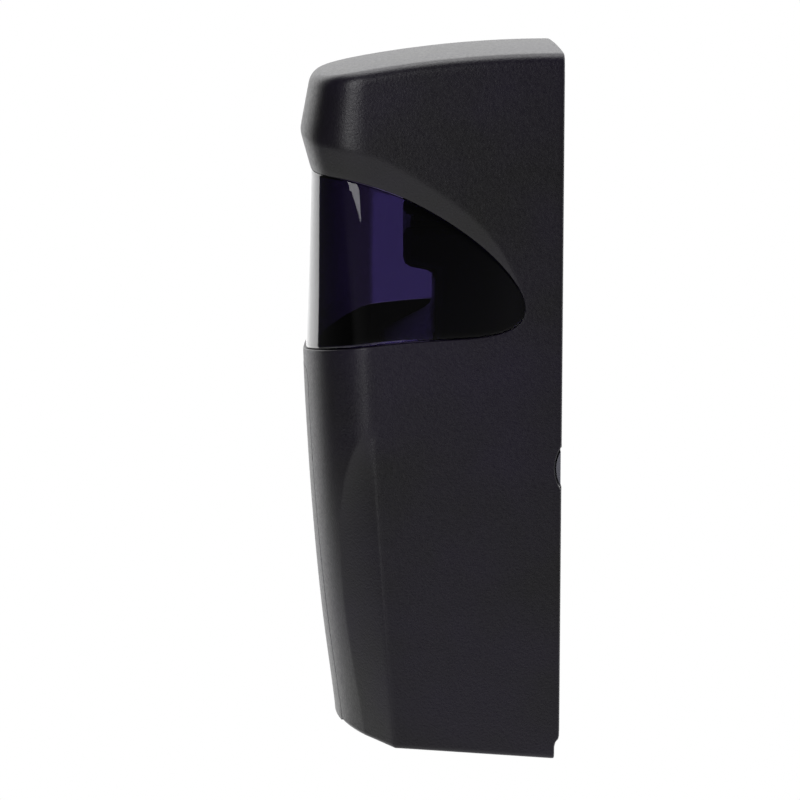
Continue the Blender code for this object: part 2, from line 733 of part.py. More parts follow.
def lever_cutout(half, top, corner):
    """Block through the lower front and the floor, with its two upper corners rounded."""
    cutter = box((-half, half), (-(DEPTH + OVERLAP), -OPENING_REAR), (-OVERLAP, top))
    bm = bmesh.new()
    bm.from_mesh(cutter.data)
    upper = [e for e in bm.edges if all(v.co.z > top / 2 for v in e.verts)]
    along = [e for e in upper if abs(e.verts[0].co.x - e.verts[1].co.x) < GAP]
    bmesh.ops.bevel(bm, geom=along, offset=corner, segments=5, profile=0.5, affect="EDGES")
    bm.to_mesh(cutter.data)
    bm.free()
    return cutter


def floor_opening():
    """Room behind the floor for the hinge lugs and for the floor to swing down."""
    half = HALF - COVER_WALL - LEDGE
    return box((-half, half), (-FLOOR_REAR, OVERLAP), (-OVERLAP, FLOOR_RISE + COVER_WALL + OVERLAP))


# ================================================================ window lens
LENS_ROWS = (0.0, 0.33, 0.67, 1.0)


def lens_column(column, wall):
    """Points of one lens column, clear of the window opening's edge by the gap."""
    way = way_from_tip(column)
    tip = abs(column) == TIP_COLUMN
    low = TIP if tip else window_bottom(way) + 2 * GAP
    high = TIP if tip else window_top(way) - 2 * GAP
    sill = LENS_SILL_DEPTH * ease(way * 4)
    points = []
    for share in LENS_ROWS:
        depth = sill + (recess(way) - sill) * share
        spot = wall_point(column, low + (high - low) * share, wall + depth)
        if tip:
            spot.y -= 2 * GAP
        points.append(spot)
    return points


def window_lens():
    columns = range(-TIP_COLUMN, TIP_COLUMN + 1)
    outer = [lens_column(c, 0.0) for c in columns]
    inner = [lens_column(c, LENS_WALL) for c in columns]
    return grid_shell(outer, inner, lambda c, r: True, "window_lens")


# ================================================================ push lever
def front_slab(half, heights, depths):
    """Slice of the cover's front between two depths, two heights and -half to half."""
    outer = []
    inner = []
    for c in range(LEVER_COLUMNS + 1):
        x = -half + 2 * half * c / LEVER_COLUMNS
        levels = [heights[0] + (heights[1] - heights[0]) * r / LEVER_ROWS for r in range(LEVER_ROWS + 1)]
        outer.append([Vector((x, front_y(x, z) + depths[0], z)) for z in levels])
        inner.append([Vector((x, front_y(x, z) + depths[1], z)) for z in levels])
    return grid_shell(outer, inner, lambda c, r: True, "push_lever")


def push_lever():
    """Lever that carries on the cover's front surface, with edge ribs, pivot ears and a push pad."""
    low = FLOOR_RISE + LEVER_GAP
    heights = (low, SLOT_TOP + OVERLAP)
    lever = front_slab(LEVER_HALF + OVERLAP, heights, (0.0, LEVER_RIB))
    outline = lever_cutout(LEVER_HALF, SLOT_TOP - LEVER_GAP, LEVER_CORNER - LEVER_GAP)
    combine(lever, outline, "INTERSECT")
    heights = (low + LEVER_WALL, SLOT_TOP + OVERLAP)
    cut(lever, front_slab(LEVER_HALF - LEVER_WALL, heights, (LEVER_WALL, LEVER_RIB + OVERLAP)))
    for side in (-1, 1):
        x = (side * (LEVER_HALF - LEVER_WALL), side * LEVER_HALF)
        front = front_y(LEVER_HALF, PIVOT.z) + LEVER_WALL
        z = (PIVOT.z - PIVOT_EAR, PIVOT.z + PIVOT_EAR)
        join(lever, box(x, (front, PIVOT.y + PIVOT_EAR), z))
    front = front_y(0, PUMP_HEIGHT) + LEVER_WALL / 2
    z = (PUMP_HEIGHT - PAD_HALF, PUMP_HEIGHT + PAD_HALF)
    join(lever, box((-PAD_HALF, PAD_HALF), (front, -(PAD_FACE + PAD_HALF)), z))
    nose = Vector((PAD_HALF, -(PAD_FACE + PAD_HALF), PUMP_HEIGHT))
    join(lever, rod(PAD_HALF, nose - Vector((2 * PAD_HALF, 0, 0)), nose))
    reach = Vector((HALF, 0, 0))
    return cut(lever, rod(PIVOT_PIN_RADIUS + PIN_GAP, PIVOT - reach, PIVOT + reach))


def lever_pin():
    reach = Vector((LEVER_HALF + LEVER_GAP + PIVOT_BOSS, 0, 0))
    return rod(PIVOT_PIN_RADIUS, PIVOT - reach, PIVOT + reach, "lever_pin")


# ================================================================ back plate
def keyhole(x, z):
    """Keyhole for a wall screw: a round hole with a narrower slot above it."""
    front = -FLANGE_DEPTH
    head = rod(KEYHOLE_RADIUS, (x, OVERLAP, z), (x, front, z))
    end = z + KEYHOLE_RUN
    slot = box((x - KEYHOLE_SLOT, x + KEYHOLE_SLOT), (OVERLAP, front), (z, end))
    return head, slot, rod(KEYHOLE_SLOT, (x, OVERLAP, end), (x, front, end), sides=PIN_SIDES)


def hinge_lug(side):
    """Ear under the plate that carries one cover pin."""
    y, z, r = HINGE.y, HINGE.z, HINGE_LUG
    outline = [(y + r * math.cos(a), z + r * math.sin(a)) for a in arc_angles(math.pi, 2 * math.pi, 8)]
    outline += [(-GAP, PLATE_BOTTOM), (-GAP, PLATE_BOTTOM + PLATE_WALL), (y - r, PLATE_BOTTOM + PLATE_WALL)]
    x = (side * (PLATE_HALF - HINGE_LUG_WIDTH), side * PLATE_HALF)
    return prism(outline, x)


def arc_angles(start, end, steps):
    return [start + (end - start) * k / steps for k in range(steps + 1)]


def tab_window(side):
    """Room for a release tab through the plate's side rim and edge."""
    x = (side * (TAB_INNER - TAB_TRAVEL - OVERLAP), side * (PLATE_HALF + OVERLAP))
    reach = TAB_HEIGHT / 2 + GAP
    return box(x, (-FLANGE_DEPTH - OVERLAP, OVERLAP), (NOTCH_HEIGHT - reach, NOTCH_HEIGHT + reach))


def back_plate():
    """Plate with a forward rim, keyholes, screw bosses, reservoir shelves and hinge lugs."""
    plate = box((-PLATE_HALF, PLATE_HALF), (-FLANGE_DEPTH, 0), (PLATE_BOTTOM, PLATE_TOP), "back_plate")
    inside = PLATE_HALF - FLANGE_WALL
    z = (PLATE_BOTTOM + FLANGE_WALL, PLATE_TOP - FLANGE_WALL)
    cut(plate, box((-inside, inside), (-FLANGE_DEPTH - OVERLAP, -PLATE_WALL), z))
    root = -PLATE_WALL + OVERLAP
    for side in (-1, 1):
        x = side * PUMP_SCREW_X
        join(plate, rod(SCREW_BOSS, (x, root, PUMP_HEIGHT), (x, -PUMP_REAR + GAP, PUMP_HEIGHT)))
        x = side * TANK_SCREW_X
        join(plate, rod(SCREW_BOSS, (x, root, EAR_MIDDLE), (x, -TANK_REAR + GAP, EAR_MIDDLE)))
        join(plate, shelf(side), hinge_lug(side), tab_post(side))
    for side in (-1, 1):
        cut(plate, tab_window(side))
        cut(plate, screw_hole(side * PUMP_SCREW_X, PUMP_REAR, PUMP_HEIGHT))
        cut(plate, screw_hole(side * TANK_SCREW_X, TANK_REAR, EAR_MIDDLE))
        pin_start = HINGE + Vector((side * (PLATE_HALF - HINGE_LUG_WIDTH - OVERLAP), 0, 0))
        pin_end = HINGE + Vector((side * (PLATE_HALF + OVERLAP), 0, 0))
        cut(plate, rod(HINGE_PIN_RADIUS + PIN_GAP, pin_start, pin_end, sides=PIN_SIDES))
        for z in (PLATE_BOTTOM + KEYHOLE_RISE, PLATE_TOP - KEYHOLE_RISE):
            cut(plate, *keyhole(side * (PLATE_HALF - KEYHOLE_INSET), z))
    return plate


def shelf(side):
    """Triangular bracket under the reservoir."""
    top = TANK_BOTTOM - GAP
    reach = SHELF_REACH
    root = -PLATE_WALL + OVERLAP
    outline = [(root, top - reach), (root, top), (-reach, top), (-reach, top - SHELF_NOSE)]
    return prism(outline, (side * SHELF_X, side * (SHELF_X + SHELF_WIDTH)))


def tab_post(side):
    """Post that a release spring bears on."""
    start = TAB_INNER - TAB_SPRING_LENGTH - TAB_POST
    x = (side * start, side * (start + TAB_POST))
    reach = TAB_HEIGHT / 2
    return box(x, (-TANK_REAR + GAP, -PLATE_WALL + OVERLAP), (NOTCH_HEIGHT - reach, NOTCH_HEIGHT + reach))


def screw_hole(x, front, z):
    """Pilot hole that stops inside the plate's rear face."""
    return rod(SCREW_RADIUS + GAP, (x, -OVERLAP, z), (x, -front - OVERLAP, z))


def screw(name, x, seat, z, length):
    """Pan head screw pointing at the wall, with its head in front of the seat."""
    head = SCREW_HEAD_HEIGHT
    profile = (
        (0, 0),
        (SCREW_HEAD * SCREW_HEAD_FLAT, 0),
        (SCREW_HEAD, head * 0.5),
        (SCREW_HEAD, head),
        (SCREW_RADIUS, head),
        (SCREW_RADIUS, head + length - SCREW_RADIUS),
        (SCREW_RADIUS * 0.3, head + length),
        (0, head + length),
    )
    body = turned(profile, (x, -(seat + head), z), (0, 1, 0), name, sides=PIN_SIDES)
    front = -(seat + head)
    reach = SCREW_HEAD * SCREW_SLOT_LENGTH
    for half in ((reach, SCREW_SLOT), (SCREW_SLOT, reach)):
        y = (front - OVERLAP, front + head * SCREW_SLOT_DEPTH)
        cut(body, box((x - half[0], x + half[0]), y, (z - half[1], z + half[1])))
    return body


def pump_screw(side, name):
    length = PUMP_FLANGE_WALL + 2 * GAP + PUMP_SCREW_BITE
    return screw(name, side * PUMP_SCREW_X, PUMP_REAR + PUMP_FLANGE_WALL + GAP, PUMP_HEIGHT, length)


def tank_screw(side, name):
    length = TANK_EAR_WALL + 2 * GAP + TANK_SCREW_BITE
    return screw(name, side * TANK_SCREW_X, TANK_REAR + TANK_EAR_WALL + GAP, EAR_MIDDLE, length)


def hinge_pin(side, name):
    """Pin fixed in a lug of the back plate; the cover turns on its outer end."""
    start = HINGE + Vector((side * (PLATE_HALF - HINGE_LUG_WIDTH), 0, 0))
    end = HINGE + Vector((side * (HALF - HINGE_SKIN - GAP), 0, 0))
    return rod(HINGE_PIN_RADIUS, start, end, name, sides=PIN_SIDES)


# ================================================================ reservoir
def tank_outline():
    """Side outline of the reservoir as (y, z), anticlockwise seen from +X."""
    shoulder = SILL + TANK_SHOULDER
    fall = TANK_SHOULDER_FALL
    lip = TANK_TOP - LIP_HEIGHT
    return [
        (-TANK_REAR, TANK_BOTTOM),
        (-TANK_REAR, TANK_TOP),
        (-TANK_LIP, TANK_TOP),
        (-TANK_LIP, lip),
        (-TANK_FRONT, lip - (TANK_LIP - TANK_FRONT) * 0.2),
        (-TANK_FRONT, shoulder),
        (-(TANK_BELLY - TANK_EDGE), shoulder - fall),
        (-TANK_BELLY, shoulder - fall - TANK_EDGE),
        (-TANK_BELLY, TANK_BOTTOM),
    ]


def reservoir_tank():
    """Blow-moulded bottle with a filler neck, an outlet hole and two screw ears."""
    tank = prism(tank_outline(), (-TANK_HALF, TANK_HALF), "reservoir_tank")
    round_edges(tank, TANK_EDGE, 2, 25.0)
    join(tank, neck_block(0.0, (TANK_TOP - OVERLAP, TANK_TOP + NECK_HEIGHT)))
    cavity = offset_outline(tank_outline(), TANK_WALL)
    inside = prism(cavity, (-TANK_HALF + TANK_WALL, TANK_HALF - TANK_WALL))
    mouth = neck_block(NECK_WALL, (TANK_TOP - TANK_WALL - OVERLAP, TANK_TOP + NECK_HEIGHT + OVERLAP))
    outlet = rod(TANK_OUTLET, at_port(TANK_BOTTOM - OVERLAP), at_port(TANK_BOTTOM + TANK_WALL + OVERLAP))
    cut(tank, inside, mouth, outlet)
    for side in (-1, 1):
        join(tank, tank_ear(side))
        front = -(TANK_REAR + TANK_EAR_WALL + OVERLAP)
        spot = Vector((side * TANK_SCREW_X, 0, EAR_MIDDLE))
        cut(tank, rod(SCREW_RADIUS + GAP, spot + along_y(-TANK_REAR + OVERLAP), spot + along_y(front)))
        join(tank, tank_knuckle(side))
    return cut(tank, lid_pin_hole())


def along_y(distance):
    return Vector((0, distance, 0))


def neck_block(inset, z, name="neck"):
    """Block on the filler neck's outline, moved in by the inset, between two heights."""
    x = NECK_HALF - inset
    return box((-x, x), (-NECK_FRONT + inset, -NECK_REAR - inset), z, name)


def tank_ear(side):
    """Ear at the reservoir's upper rear corner that takes a screw."""
    x = side * TANK_SCREW_X
    y = (-TANK_REAR - TANK_EAR_WALL, -TANK_REAR)
    z = (TANK_TOP - TANK_EDGE - OVERLAP, TANK_TOP + TANK_EAR_HEIGHT)
    return box((x - TANK_EAR_HALF, x + TANK_EAR_HALF), y, z)


def tank_knuckle(side):
    """Pedestal on the reservoir that holds one end of the lid's pin."""
    start = LID_KNUCKLE_X + LID_KNUCKLE_WIDTH + GAP
    x = (side * start, side * (start + LID_KNUCKLE_WIDTH))
    return prism(knuckle_outline(TANK_TOP - OVERLAP), x)


def knuckle_outline(base):
    """Round-topped outline that stands on the base height."""
    y, z, r = LID_AXIS.y, LID_AXIS.z, LID_KNUCKLE
    outline = [(y + r * math.cos(a), z + r * math.sin(a)) for a in arc_angles(0, math.pi, 8)]
    return outline + [(y - r, base), (y + r, base)]


def lid_reach():
    return LID_KNUCKLE_X + 2 * LID_KNUCKLE_WIDTH + GAP


def lid_pin_hole():
    reach = Vector((lid_reach() + OVERLAP, 0, 0))
    return rod(LID_PIN_RADIUS + PIN_GAP, LID_AXIS - reach, LID_AXIS + reach, sides=PIN_SIDES)


def lid_hinge_pin():
    reach = Vector((lid_reach(), 0, 0))
    return rod(LID_PIN_RADIUS, LID_AXIS - reach, LID_AXIS + reach, "lid_hinge_pin", sides=PIN_SIDES)


# ================================================================ lid
def reservoir_lid():
    """Hollow lid with a skirt, a ring that carries its seal and two hinge knuckles."""
    low = TANK_TOP + LID_LIFT
    high = low + LID_HEIGHT
    lid = box((-LID_HALF, LID_HALF), (-TANK_LIP, -LID_REAR), (low, high), "reservoir_lid")
    round_edges(lid, LID_EDGE, 2, 40.0)
    wall = LID_WALL
    x = (-LID_HALF + wall, LID_HALF - wall)
    cut(lid, box(x, (-TANK_LIP + wall, -LID_REAR - wall), (low - OVERLAP, high - wall)))
    seat = TANK_TOP + NECK_HEIGHT + SEAL_HEIGHT + 2 * GAP
    ring = neck_block(0.0, (seat, high - wall + OVERLAP))
    join(lid, cut(ring, neck_block(NECK_WALL, (low, high + OVERLAP))))
    for side in (-1, 1):
        x = (side * LID_KNUCKLE_X, side * (LID_KNUCKLE_X + LID_KNUCKLE_WIDTH))
        join(lid, prism(lid_knuckle_outline(), x))
    return cut(lid, lid_pin_hole())


def lid_knuckle_outline():
    """Barrel round the pin with a web that runs forward into the lid's rear wall."""
    y, z, r = LID_AXIS.y, LID_AXIS.z, LID_KNUCKLE
    outline = [(y + r * math.cos(a), z + r * math.sin(a)) for a in arc_angles(-math.pi / 2, math.pi / 2, 8)]
    front = -(LID_REAR + LID_WALL / 2)
    return outline + [(front, z + r), (front, TANK_TOP + LID_LIFT)]


def lid_seal():
    """Flat rubber ring under the lid, on the neck's rim."""
    low = TANK_TOP + NECK_HEIGHT + GAP
    seal = neck_block(0.0, (low, low + SEAL_HEIGHT), "lid_seal")
    return cut(seal, neck_block(NECK_WALL, (low - OVERLAP, low + SEAL_HEIGHT + OVERLAP)))


# ================================================================ pump
def on_pump_axis(y):
    return Vector((0, -y, PUMP_HEIGHT))


def at_port(z):
    return PORT + Vector((0, 0, z))


def pump_cylinder():
    """Cylinder with a rear flange, an inlet socket above and an outlet stub below."""
    outer = PUMP_BORE + PUMP_WALL
    body = rod(outer, on_pump_axis(PUMP_REAR), on_pump_axis(PUMP_FRONT), "pump_cylinder", sides=BIG_ROUND)
    flange = PUMP_FLANGE_HEIGHT
    y = (-PUMP_REAR - PUMP_FLANGE_WALL, -PUMP_REAR)
    join(
        body,
        box((-PUMP_FLANGE_HALF, PUMP_FLANGE_HALF), y, (PUMP_HEIGHT - flange, PUMP_HEIGHT + flange)),
        rod(INLET_RADIUS, at_port(PUMP_HEIGHT), at_port(INLET_TOP)),
        rod(INLET_FLANGE, at_port(INLET_TOP - INLET_FLANGE_WALL), at_port(INLET_TOP)),
        rod(OUTLET_RADIUS, at_port(OUTLET_END), at_port(PUMP_HEIGHT)),
    )
    chamber_rear = PUMP_REAR + PUMP_FLANGE_WALL + PUMP_WALL
    cut(
        body,
        rod(PUMP_BORE, on_pump_axis(chamber_rear), on_pump_axis(PUMP_FRONT + OVERLAP), sides=BIG_ROUND),
        rod(INLET_THROAT, at_port(PUMP_HEIGHT), at_port(BALL_LEDGE + OVERLAP)),
        rod(INLET_BORE, at_port(BALL_LEDGE), at_port(INLET_TOP + OVERLAP)),
        rod(OUTLET_BORE, at_port(OUTLET_END - OVERLAP), at_port(PUMP_HEIGHT)),
    )
    z = (BALL_LEDGE - BALL_SLOT_DEPTH, BALL_LEDGE + OVERLAP)
    for reach in ((BALL_SLOT_REACH, BALL_SLOT), (BALL_SLOT, BALL_SLOT_REACH)):
        cut(body, box((-reach[0], reach[0]), (PORT.y - reach[1], PORT.y + reach[1]), z))
    for side in (-1, 1):
        spot = Vector((side * PUMP_SCREW_X, 0, PUMP_HEIGHT))
        front = -(PUMP_REAR + PUMP_FLANGE_WALL + OVERLAP)
        cut(body, rod(SCREW_RADIUS + GAP, spot + along_y(-PUMP_REAR + OVERLAP), spot + along_y(front)))
    return body


def pump_cap():
    """Screwed collar that holds the piston in; its hole guides the piston's rod."""
    outer = PUMP_BORE + PUMP_WALL + GAP
    end = CAP_SKIRT + CAP_WALL
    hole = PISTON_ROD + GAP
    profile = (
        (hole, 0),
        (CAP_RADIUS - OVERLAP, 0),
        (CAP_RADIUS, OVERLAP),
        (CAP_RADIUS, end),
        (outer, end),
        (outer, CAP_WALL),
        (hole, CAP_WALL),
    )
    start = on_pump_axis(PUMP_FRONT + GAP + CAP_WALL)
    return turned(profile, start, (0, 1, 0), "pump_cap", sides=BIG_ROUND)


def piston_front():
    """Distance from the wall to the piston head's front face, at rest."""
    return PUMP_FRONT - OVERLAP


def pump_piston():
    """Piston head with a ring groove, and the rod that the lever pushes."""
    head = PUMP_BORE - PISTON_GAP
    groove = head - 2 * RING_SECTION - 2 * GAP
    start = PAD_FACE - GAP
    length = start - piston_front()
    groove_half = RING_SECTION + GAP
    middle = length + PISTON_HEAD / 2
    profile = (
        (0, 0),
        (PISTON_ROD - OVERLAP, 0),
        (PISTON_ROD, OVERLAP),
        (PISTON_ROD, length),
        (head, length),
        (head, middle - groove_half),
        (groove, middle - groove_half),
        (groove, middle + groove_half),
        (head, middle + groove_half),
        (head, length + PISTON_HEAD),
        (0, length + PISTON_HEAD),
    )
    return turned(profile, on_pump_axis(start), (0, 1, 0), "pump_piston", sides=BIG_ROUND)


def piston_seal():
    """O-ring in the piston's groove."""
    centre = PUMP_BORE - GAP - RING_SECTION
    middle = piston_front() - PISTON_HEAD / 2
    profile = []
    for k in range(6):
        angle = 2 * math.pi * k / 6
        profile.append((centre + RING_SECTION * math.cos(angle), RING_SECTION * math.sin(angle)))
    return turned(profile, on_pump_axis(middle), (0, 1, 0), "piston_seal", sides=BIG_ROUND)


def pump_spring():
    rear = PUMP_REAR + PUMP_FLANGE_WALL + PUMP_WALL + GAP
    front = piston_front() - PISTON_HEAD - GAP
    ends = (on_pump_axis(rear), on_pump_axis(front))
    return coil(PUMP_SPRING_RADIUS, PUMP_SPRING_WIRE, *ends, PUMP_SPRING_TURNS, "pump_spring")


def inlet_gasket():
    start = at_port(INLET_TOP + GAP)
    return tube(GASKET_RADIUS, INLET_BORE, start, start + Vector((0, 0, GASKET_HEIGHT)), "inlet_gasket")


def ball_height():
    """Height of the ball's centre when it rests on the edge of the inlet's throat."""
    return BALL_LEDGE + math.sqrt((BALL_RADIUS + GAP / 3) ** 2 - INLET_THROAT**2)


def inlet_ball():
    """Check ball that lifts to close the reservoir's outlet while the pump is pressed."""
    profile = [(BALL_RADIUS * math.sin(a), -BALL_RADIUS * math.cos(a)) for a in arc_angles(0, math.pi, 8)]
    profile[0] = (0, -BALL_RADIUS)
    profile[-1] = (0, BALL_RADIUS)
    return turned(profile, at_port(ball_height()), (0, 0, 1), "inlet_ball", sides=16)


def outlet_valve():
    """Rubber valve: a flange under the outlet stub and a tapered lip in the spout."""
    top = OUTLET_END - GAP
    lip = VALVE_FLANGE + SPOUT_LENGTH
    profile = (
        (VALVE_BORE, 0),
        (OUTLET_RADIUS - GAP, 0),
        (OUTLET_RADIUS - GAP, VALVE_FLANGE),
        (VALVE_LIP, VALVE_FLANGE),
        (VALVE_TIP, lip),
        (VALVE_BORE, lip),
    )
    return turned(profile, at_port(top), (0, 0, -1), "outlet_valve", sides=PIN_SIDES)


def outlet_nozzle():
    """Cap over the outlet stub with a short spout that points down."""
    inner = OUTLET_RADIUS + GAP
    outer = inner + NOZZLE_WALL
    floor = NOZZLE_SKIRT + GAP
    start = OUTLET_END - 2 * GAP - VALVE_FLANGE + floor
    end = floor + NOZZLE_FLOOR
    profile = (
        (inner, 0),
        (outer, 0),
        (outer, end - OVERLAP),
        (outer - OVERLAP, end),
        (SPOUT_RADIUS, end),
        (SPOUT_RADIUS - OVERLAP / 2, end + SPOUT_LENGTH),
        (SPOUT_BORE, end + SPOUT_LENGTH),
        (SPOUT_BORE, floor),
        (inner, floor),
    )
    return turned(profile, at_port(start), (0, 0, -1), "outlet_nozzle")


# ================================================================ release tabs
def release_tab(side, name):
    """Thumb tab: a block in the plate's side with a nose that fills the cover's finger notch."""
    reach = TAB_HEIGHT / 2
    z = (NOTCH_HEIGHT - reach, NOTCH_HEIGHT + reach)
    tab = box((side * TAB_INNER, side * (PLATE_HALF - GAP)), (-TAB_FRONT, -REAR_GAP), z, name)
    centre = Vector((0, NOTCH_RADIUS - NOTCH_DEPTH, NOTCH_HEIGHT))
    start = centre + Vector((side * (PLATE_HALF - OVERLAP), 0, 0))
    end = centre + Vector((side * TAB_NOSE, 0, 0))
    nose = rod(NOTCH_RADIUS - 2 * GAP, start, end, sides=NOTCH_SIDES)
    beside = box((side * TAB_INNER, side * HALF), (-TAB_FRONT, -REAR_GAP), z)
    return join(tab, combine(nose, beside, "INTERSECT"))


def release_spring(side, name):
    y = -(TAB_FRONT + PLATE_WALL) / 2
    start = Vector((side * (TAB_INNER - TAB_SPRING_LENGTH + GAP), y, NOTCH_HEIGHT))
    end = Vector((side * (TAB_INNER - GAP), y, NOTCH_HEIGHT))
    return coil(TAB_SPRING_RADIUS, TAB_SPRING_WIRE, start, end, TAB_SPRING_TURNS, name, steps=8, sides=4)


# ================================================================ materials
MATERIALS = {
    # name: (colour, roughness, metallic, transmission)
    "cover_plastic": ((0.030, 0.027, 0.036), 0.45, 0.0, 0.0),
    "window_plastic": ((0.13, 0.11, 0.23), 0.06, 0.0, 1.0),
    "inner_plastic": ((0.020, 0.020, 0.021), 0.50, 0.0, 0.0),
    "tank_plastic": ((0.060, 0.058, 0.066), 0.35, 0.0, 0.0),
    "tab_plastic": ((0.22, 0.22, 0.28), 0.45, 0.0, 0.0),
    "pump_plastic": ((0.55, 0.55, 0.53), 0.40, 0.0, 0.0),
    "steel": ((0.60, 0.60, 0.58), 0.30, 1.0, 0.0),
    "rubber": ((0.025, 0.025, 0.025), 0.80, 0.0, 0.0),
}


def make_material(name):
    colour, roughness, metallic, transmission = MATERIALS[name]
    result = bpy.data.materials.new(name)
    result.use_nodes = True
    shader = result.node_tree.nodes["Principled BSDF"]
    shader.inputs["Base Color"].default_value = (*colour, 1.0)
    shader.inputs["Roughness"].default_value = roughness
    shader.inputs["Metallic"].default_value = metallic
    shader.inputs["Transmission Weight"].default_value = transmission
    return result


# ================================================================ assembly
def add_empty(name, spot, parent=None):
    """Empty on a joint's axis; spot is in the file's own heights."""
    empty = bpy.data.objects.new(name, None)
    bpy.context.scene.collection.objects.link(empty)
    empty.parent = parent
    empty.location = Vector(spot) - (Vector(parent["spot"]) if parent else Vector())
    empty["spot"] = tuple(spot)
    return empty


def merge_flats(piece):
    """Merge neighbouring faces that lie in one plane."""
    bm = bmesh.new()
    bm.from_mesh(piece.data)
    bmesh.ops.dissolve_limit(bm, angle_limit=FLAT, verts=bm.verts, edges=bm.edges)
    bmesh.ops.triangulate(bm, faces=bm.faces)
    bm.to_mesh(piece.data)
    bm.free()


def attach(piece, empty, material):
    """Hang a piece on an empty without moving it, and give it its finish."""
    merge_flats(piece)
    shift = Vector(empty["spot"])
    piece.data.transform(Matrix.Translation(-shift))
    piece.parent = empty
    piece.data.materials.clear()
    piece.data.materials.append(material)
    piece.data.shade_smooth()
    piece.data.set_sharp_from_angle(angle=SMOOTH)


def main():
    clear_scene()
    root = add_empty("dispenser", (0, 0, 0))
    root.location.z = -ORIGIN_HEIGHT
    cover = add_empty("cover_axis", HINGE, root)
    lever = add_empty("lever_axis", PIVOT, cover)
    lid = add_empty("lid_axis", LID_AXIS, root)
    piston = add_empty("piston_axis", on_pump_axis(PAD_FACE), root)
    ball = add_empty("ball_axis", at_port(ball_height()), root)
    tabs = {}
    for side, word in ((-1, "left"), (1, "right")):
        tabs[side] = add_empty("tab_axis_" + word, (side * TAB_NOSE, -REAR_GAP, NOTCH_HEIGHT), root)
    finish = {name: make_material(name) for name in MATERIALS}

    attach(back_plate(), root, finish["inner_plastic"])
    attach(cover_shell(), cover, finish["cover_plastic"])
    attach(window_lens(), cover, finish["window_plastic"])
    attach(lever_pin(), cover, finish["steel"])
    attach(push_lever(), lever, finish["cover_plastic"])
    attach(reservoir_tank(), root, finish["tank_plastic"])
    attach(reservoir_lid(), lid, finish["inner_plastic"])
    attach(lid_seal(), lid, finish["rubber"])
    attach(lid_hinge_pin(), root, finish["steel"])
    attach(pump_cylinder(), root, finish["pump_plastic"])
    attach(pump_cap(), root, finish["pump_plastic"])
    attach(pump_piston(), piston, finish["pump_plastic"])
    attach(piston_seal(), piston, finish["rubber"])
    attach(pump_spring(), root, finish["steel"])
    attach(inlet_gasket(), root, finish["rubber"])
    attach(inlet_ball(), ball, finish["steel"])
    attach(outlet_valve(), root, finish["rubber"])
    attach(outlet_nozzle(), root, finish["inner_plastic"])

    for side, word in ((-1, "left"), (1, "right")):
        attach(pump_screw(side, "pump_screw_" + word), root, finish["steel"])
        attach(tank_screw(side, "tank_screw_" + word), root, finish["steel"])
        attach(hinge_pin(side, "cover_hinge_pin_" + word), root, finish["steel"])
        attach(release_tab(side, "release_tab_" + word), tabs[side], finish["tab_plastic"])
        attach(release_spring(side, "release_spring_" + word), root, finish["steel"])


main()
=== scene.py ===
import json
import math

import bmesh
import bpy
import numpy as np
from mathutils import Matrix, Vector

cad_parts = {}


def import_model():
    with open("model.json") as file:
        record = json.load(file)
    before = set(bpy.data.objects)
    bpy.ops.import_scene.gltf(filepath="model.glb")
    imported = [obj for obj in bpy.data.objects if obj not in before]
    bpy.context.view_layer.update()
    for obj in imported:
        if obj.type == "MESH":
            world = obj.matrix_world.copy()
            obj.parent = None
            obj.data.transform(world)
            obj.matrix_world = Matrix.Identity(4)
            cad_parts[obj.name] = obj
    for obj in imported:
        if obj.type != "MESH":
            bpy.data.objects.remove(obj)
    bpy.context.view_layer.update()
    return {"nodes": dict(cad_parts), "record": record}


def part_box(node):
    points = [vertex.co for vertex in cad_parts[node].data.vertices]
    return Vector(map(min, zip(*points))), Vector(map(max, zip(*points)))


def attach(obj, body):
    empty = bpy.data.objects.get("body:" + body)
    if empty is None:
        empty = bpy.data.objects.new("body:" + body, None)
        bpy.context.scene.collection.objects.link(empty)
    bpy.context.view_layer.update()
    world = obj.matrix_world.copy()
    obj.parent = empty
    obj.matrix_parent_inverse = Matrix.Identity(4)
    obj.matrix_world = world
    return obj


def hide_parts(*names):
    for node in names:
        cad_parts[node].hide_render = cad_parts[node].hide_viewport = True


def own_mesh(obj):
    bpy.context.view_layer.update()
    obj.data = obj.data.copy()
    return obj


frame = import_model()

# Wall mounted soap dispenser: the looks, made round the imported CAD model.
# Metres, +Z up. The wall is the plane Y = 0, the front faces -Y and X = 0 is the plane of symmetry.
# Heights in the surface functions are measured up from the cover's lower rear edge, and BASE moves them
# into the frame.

MM = 0.001

# ---------------------------------------------------------------- sizes, as the CAD has them
COVER_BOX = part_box("cover_shell")
HALF = COVER_BOX[1].x
DEPTH = -COVER_BOX[0].y
HEIGHT = 278.0 * MM
BASE = COVER_BOX[1].z - HEIGHT
COVER_WALL = 2.4 * MM
ROOF_DROP = 8.2 * MM
ROOF_REACH = 85.0 * MM
ROOF_CROWN = 0.8 * MM
ROOF_FILLET_SIDE = 5.0 * MM
ROOF_FILLET_FRONT = 4.0 * MM
FLOOR_RISE = 5.0 * MM
FLOOR_FILLET = 1.6 * MM
MIN_FILLET = 0.3 * MM
SHOULDER = 28.7 * MM
BROW = HEIGHT - 32.3 * MM
WINDOW_TOP = BROW - 16.0 * MM
SILL = WINDOW_TOP - 74.7 * MM
TIP = SILL + 24.4 * MM
TIP_SETBACK = 14.5 * MM
HOOD_SLOPE = 0.19
HOOD_POWER = 2.84
FRONT_RADIUS = 99.0 * MM
FACET_TOP = 131.0 * MM
NOTCH_RADIUS = 14.3 * MM
NOTCH_DEPTH = 2.8 * MM
NOTCH_HEIGHT = 116.9 * MM
STEP_HEIGHT = 7.7 * MM
STEP_DEPTH = 2.0 * MM
FLOOR_REAR = 12.0 * MM
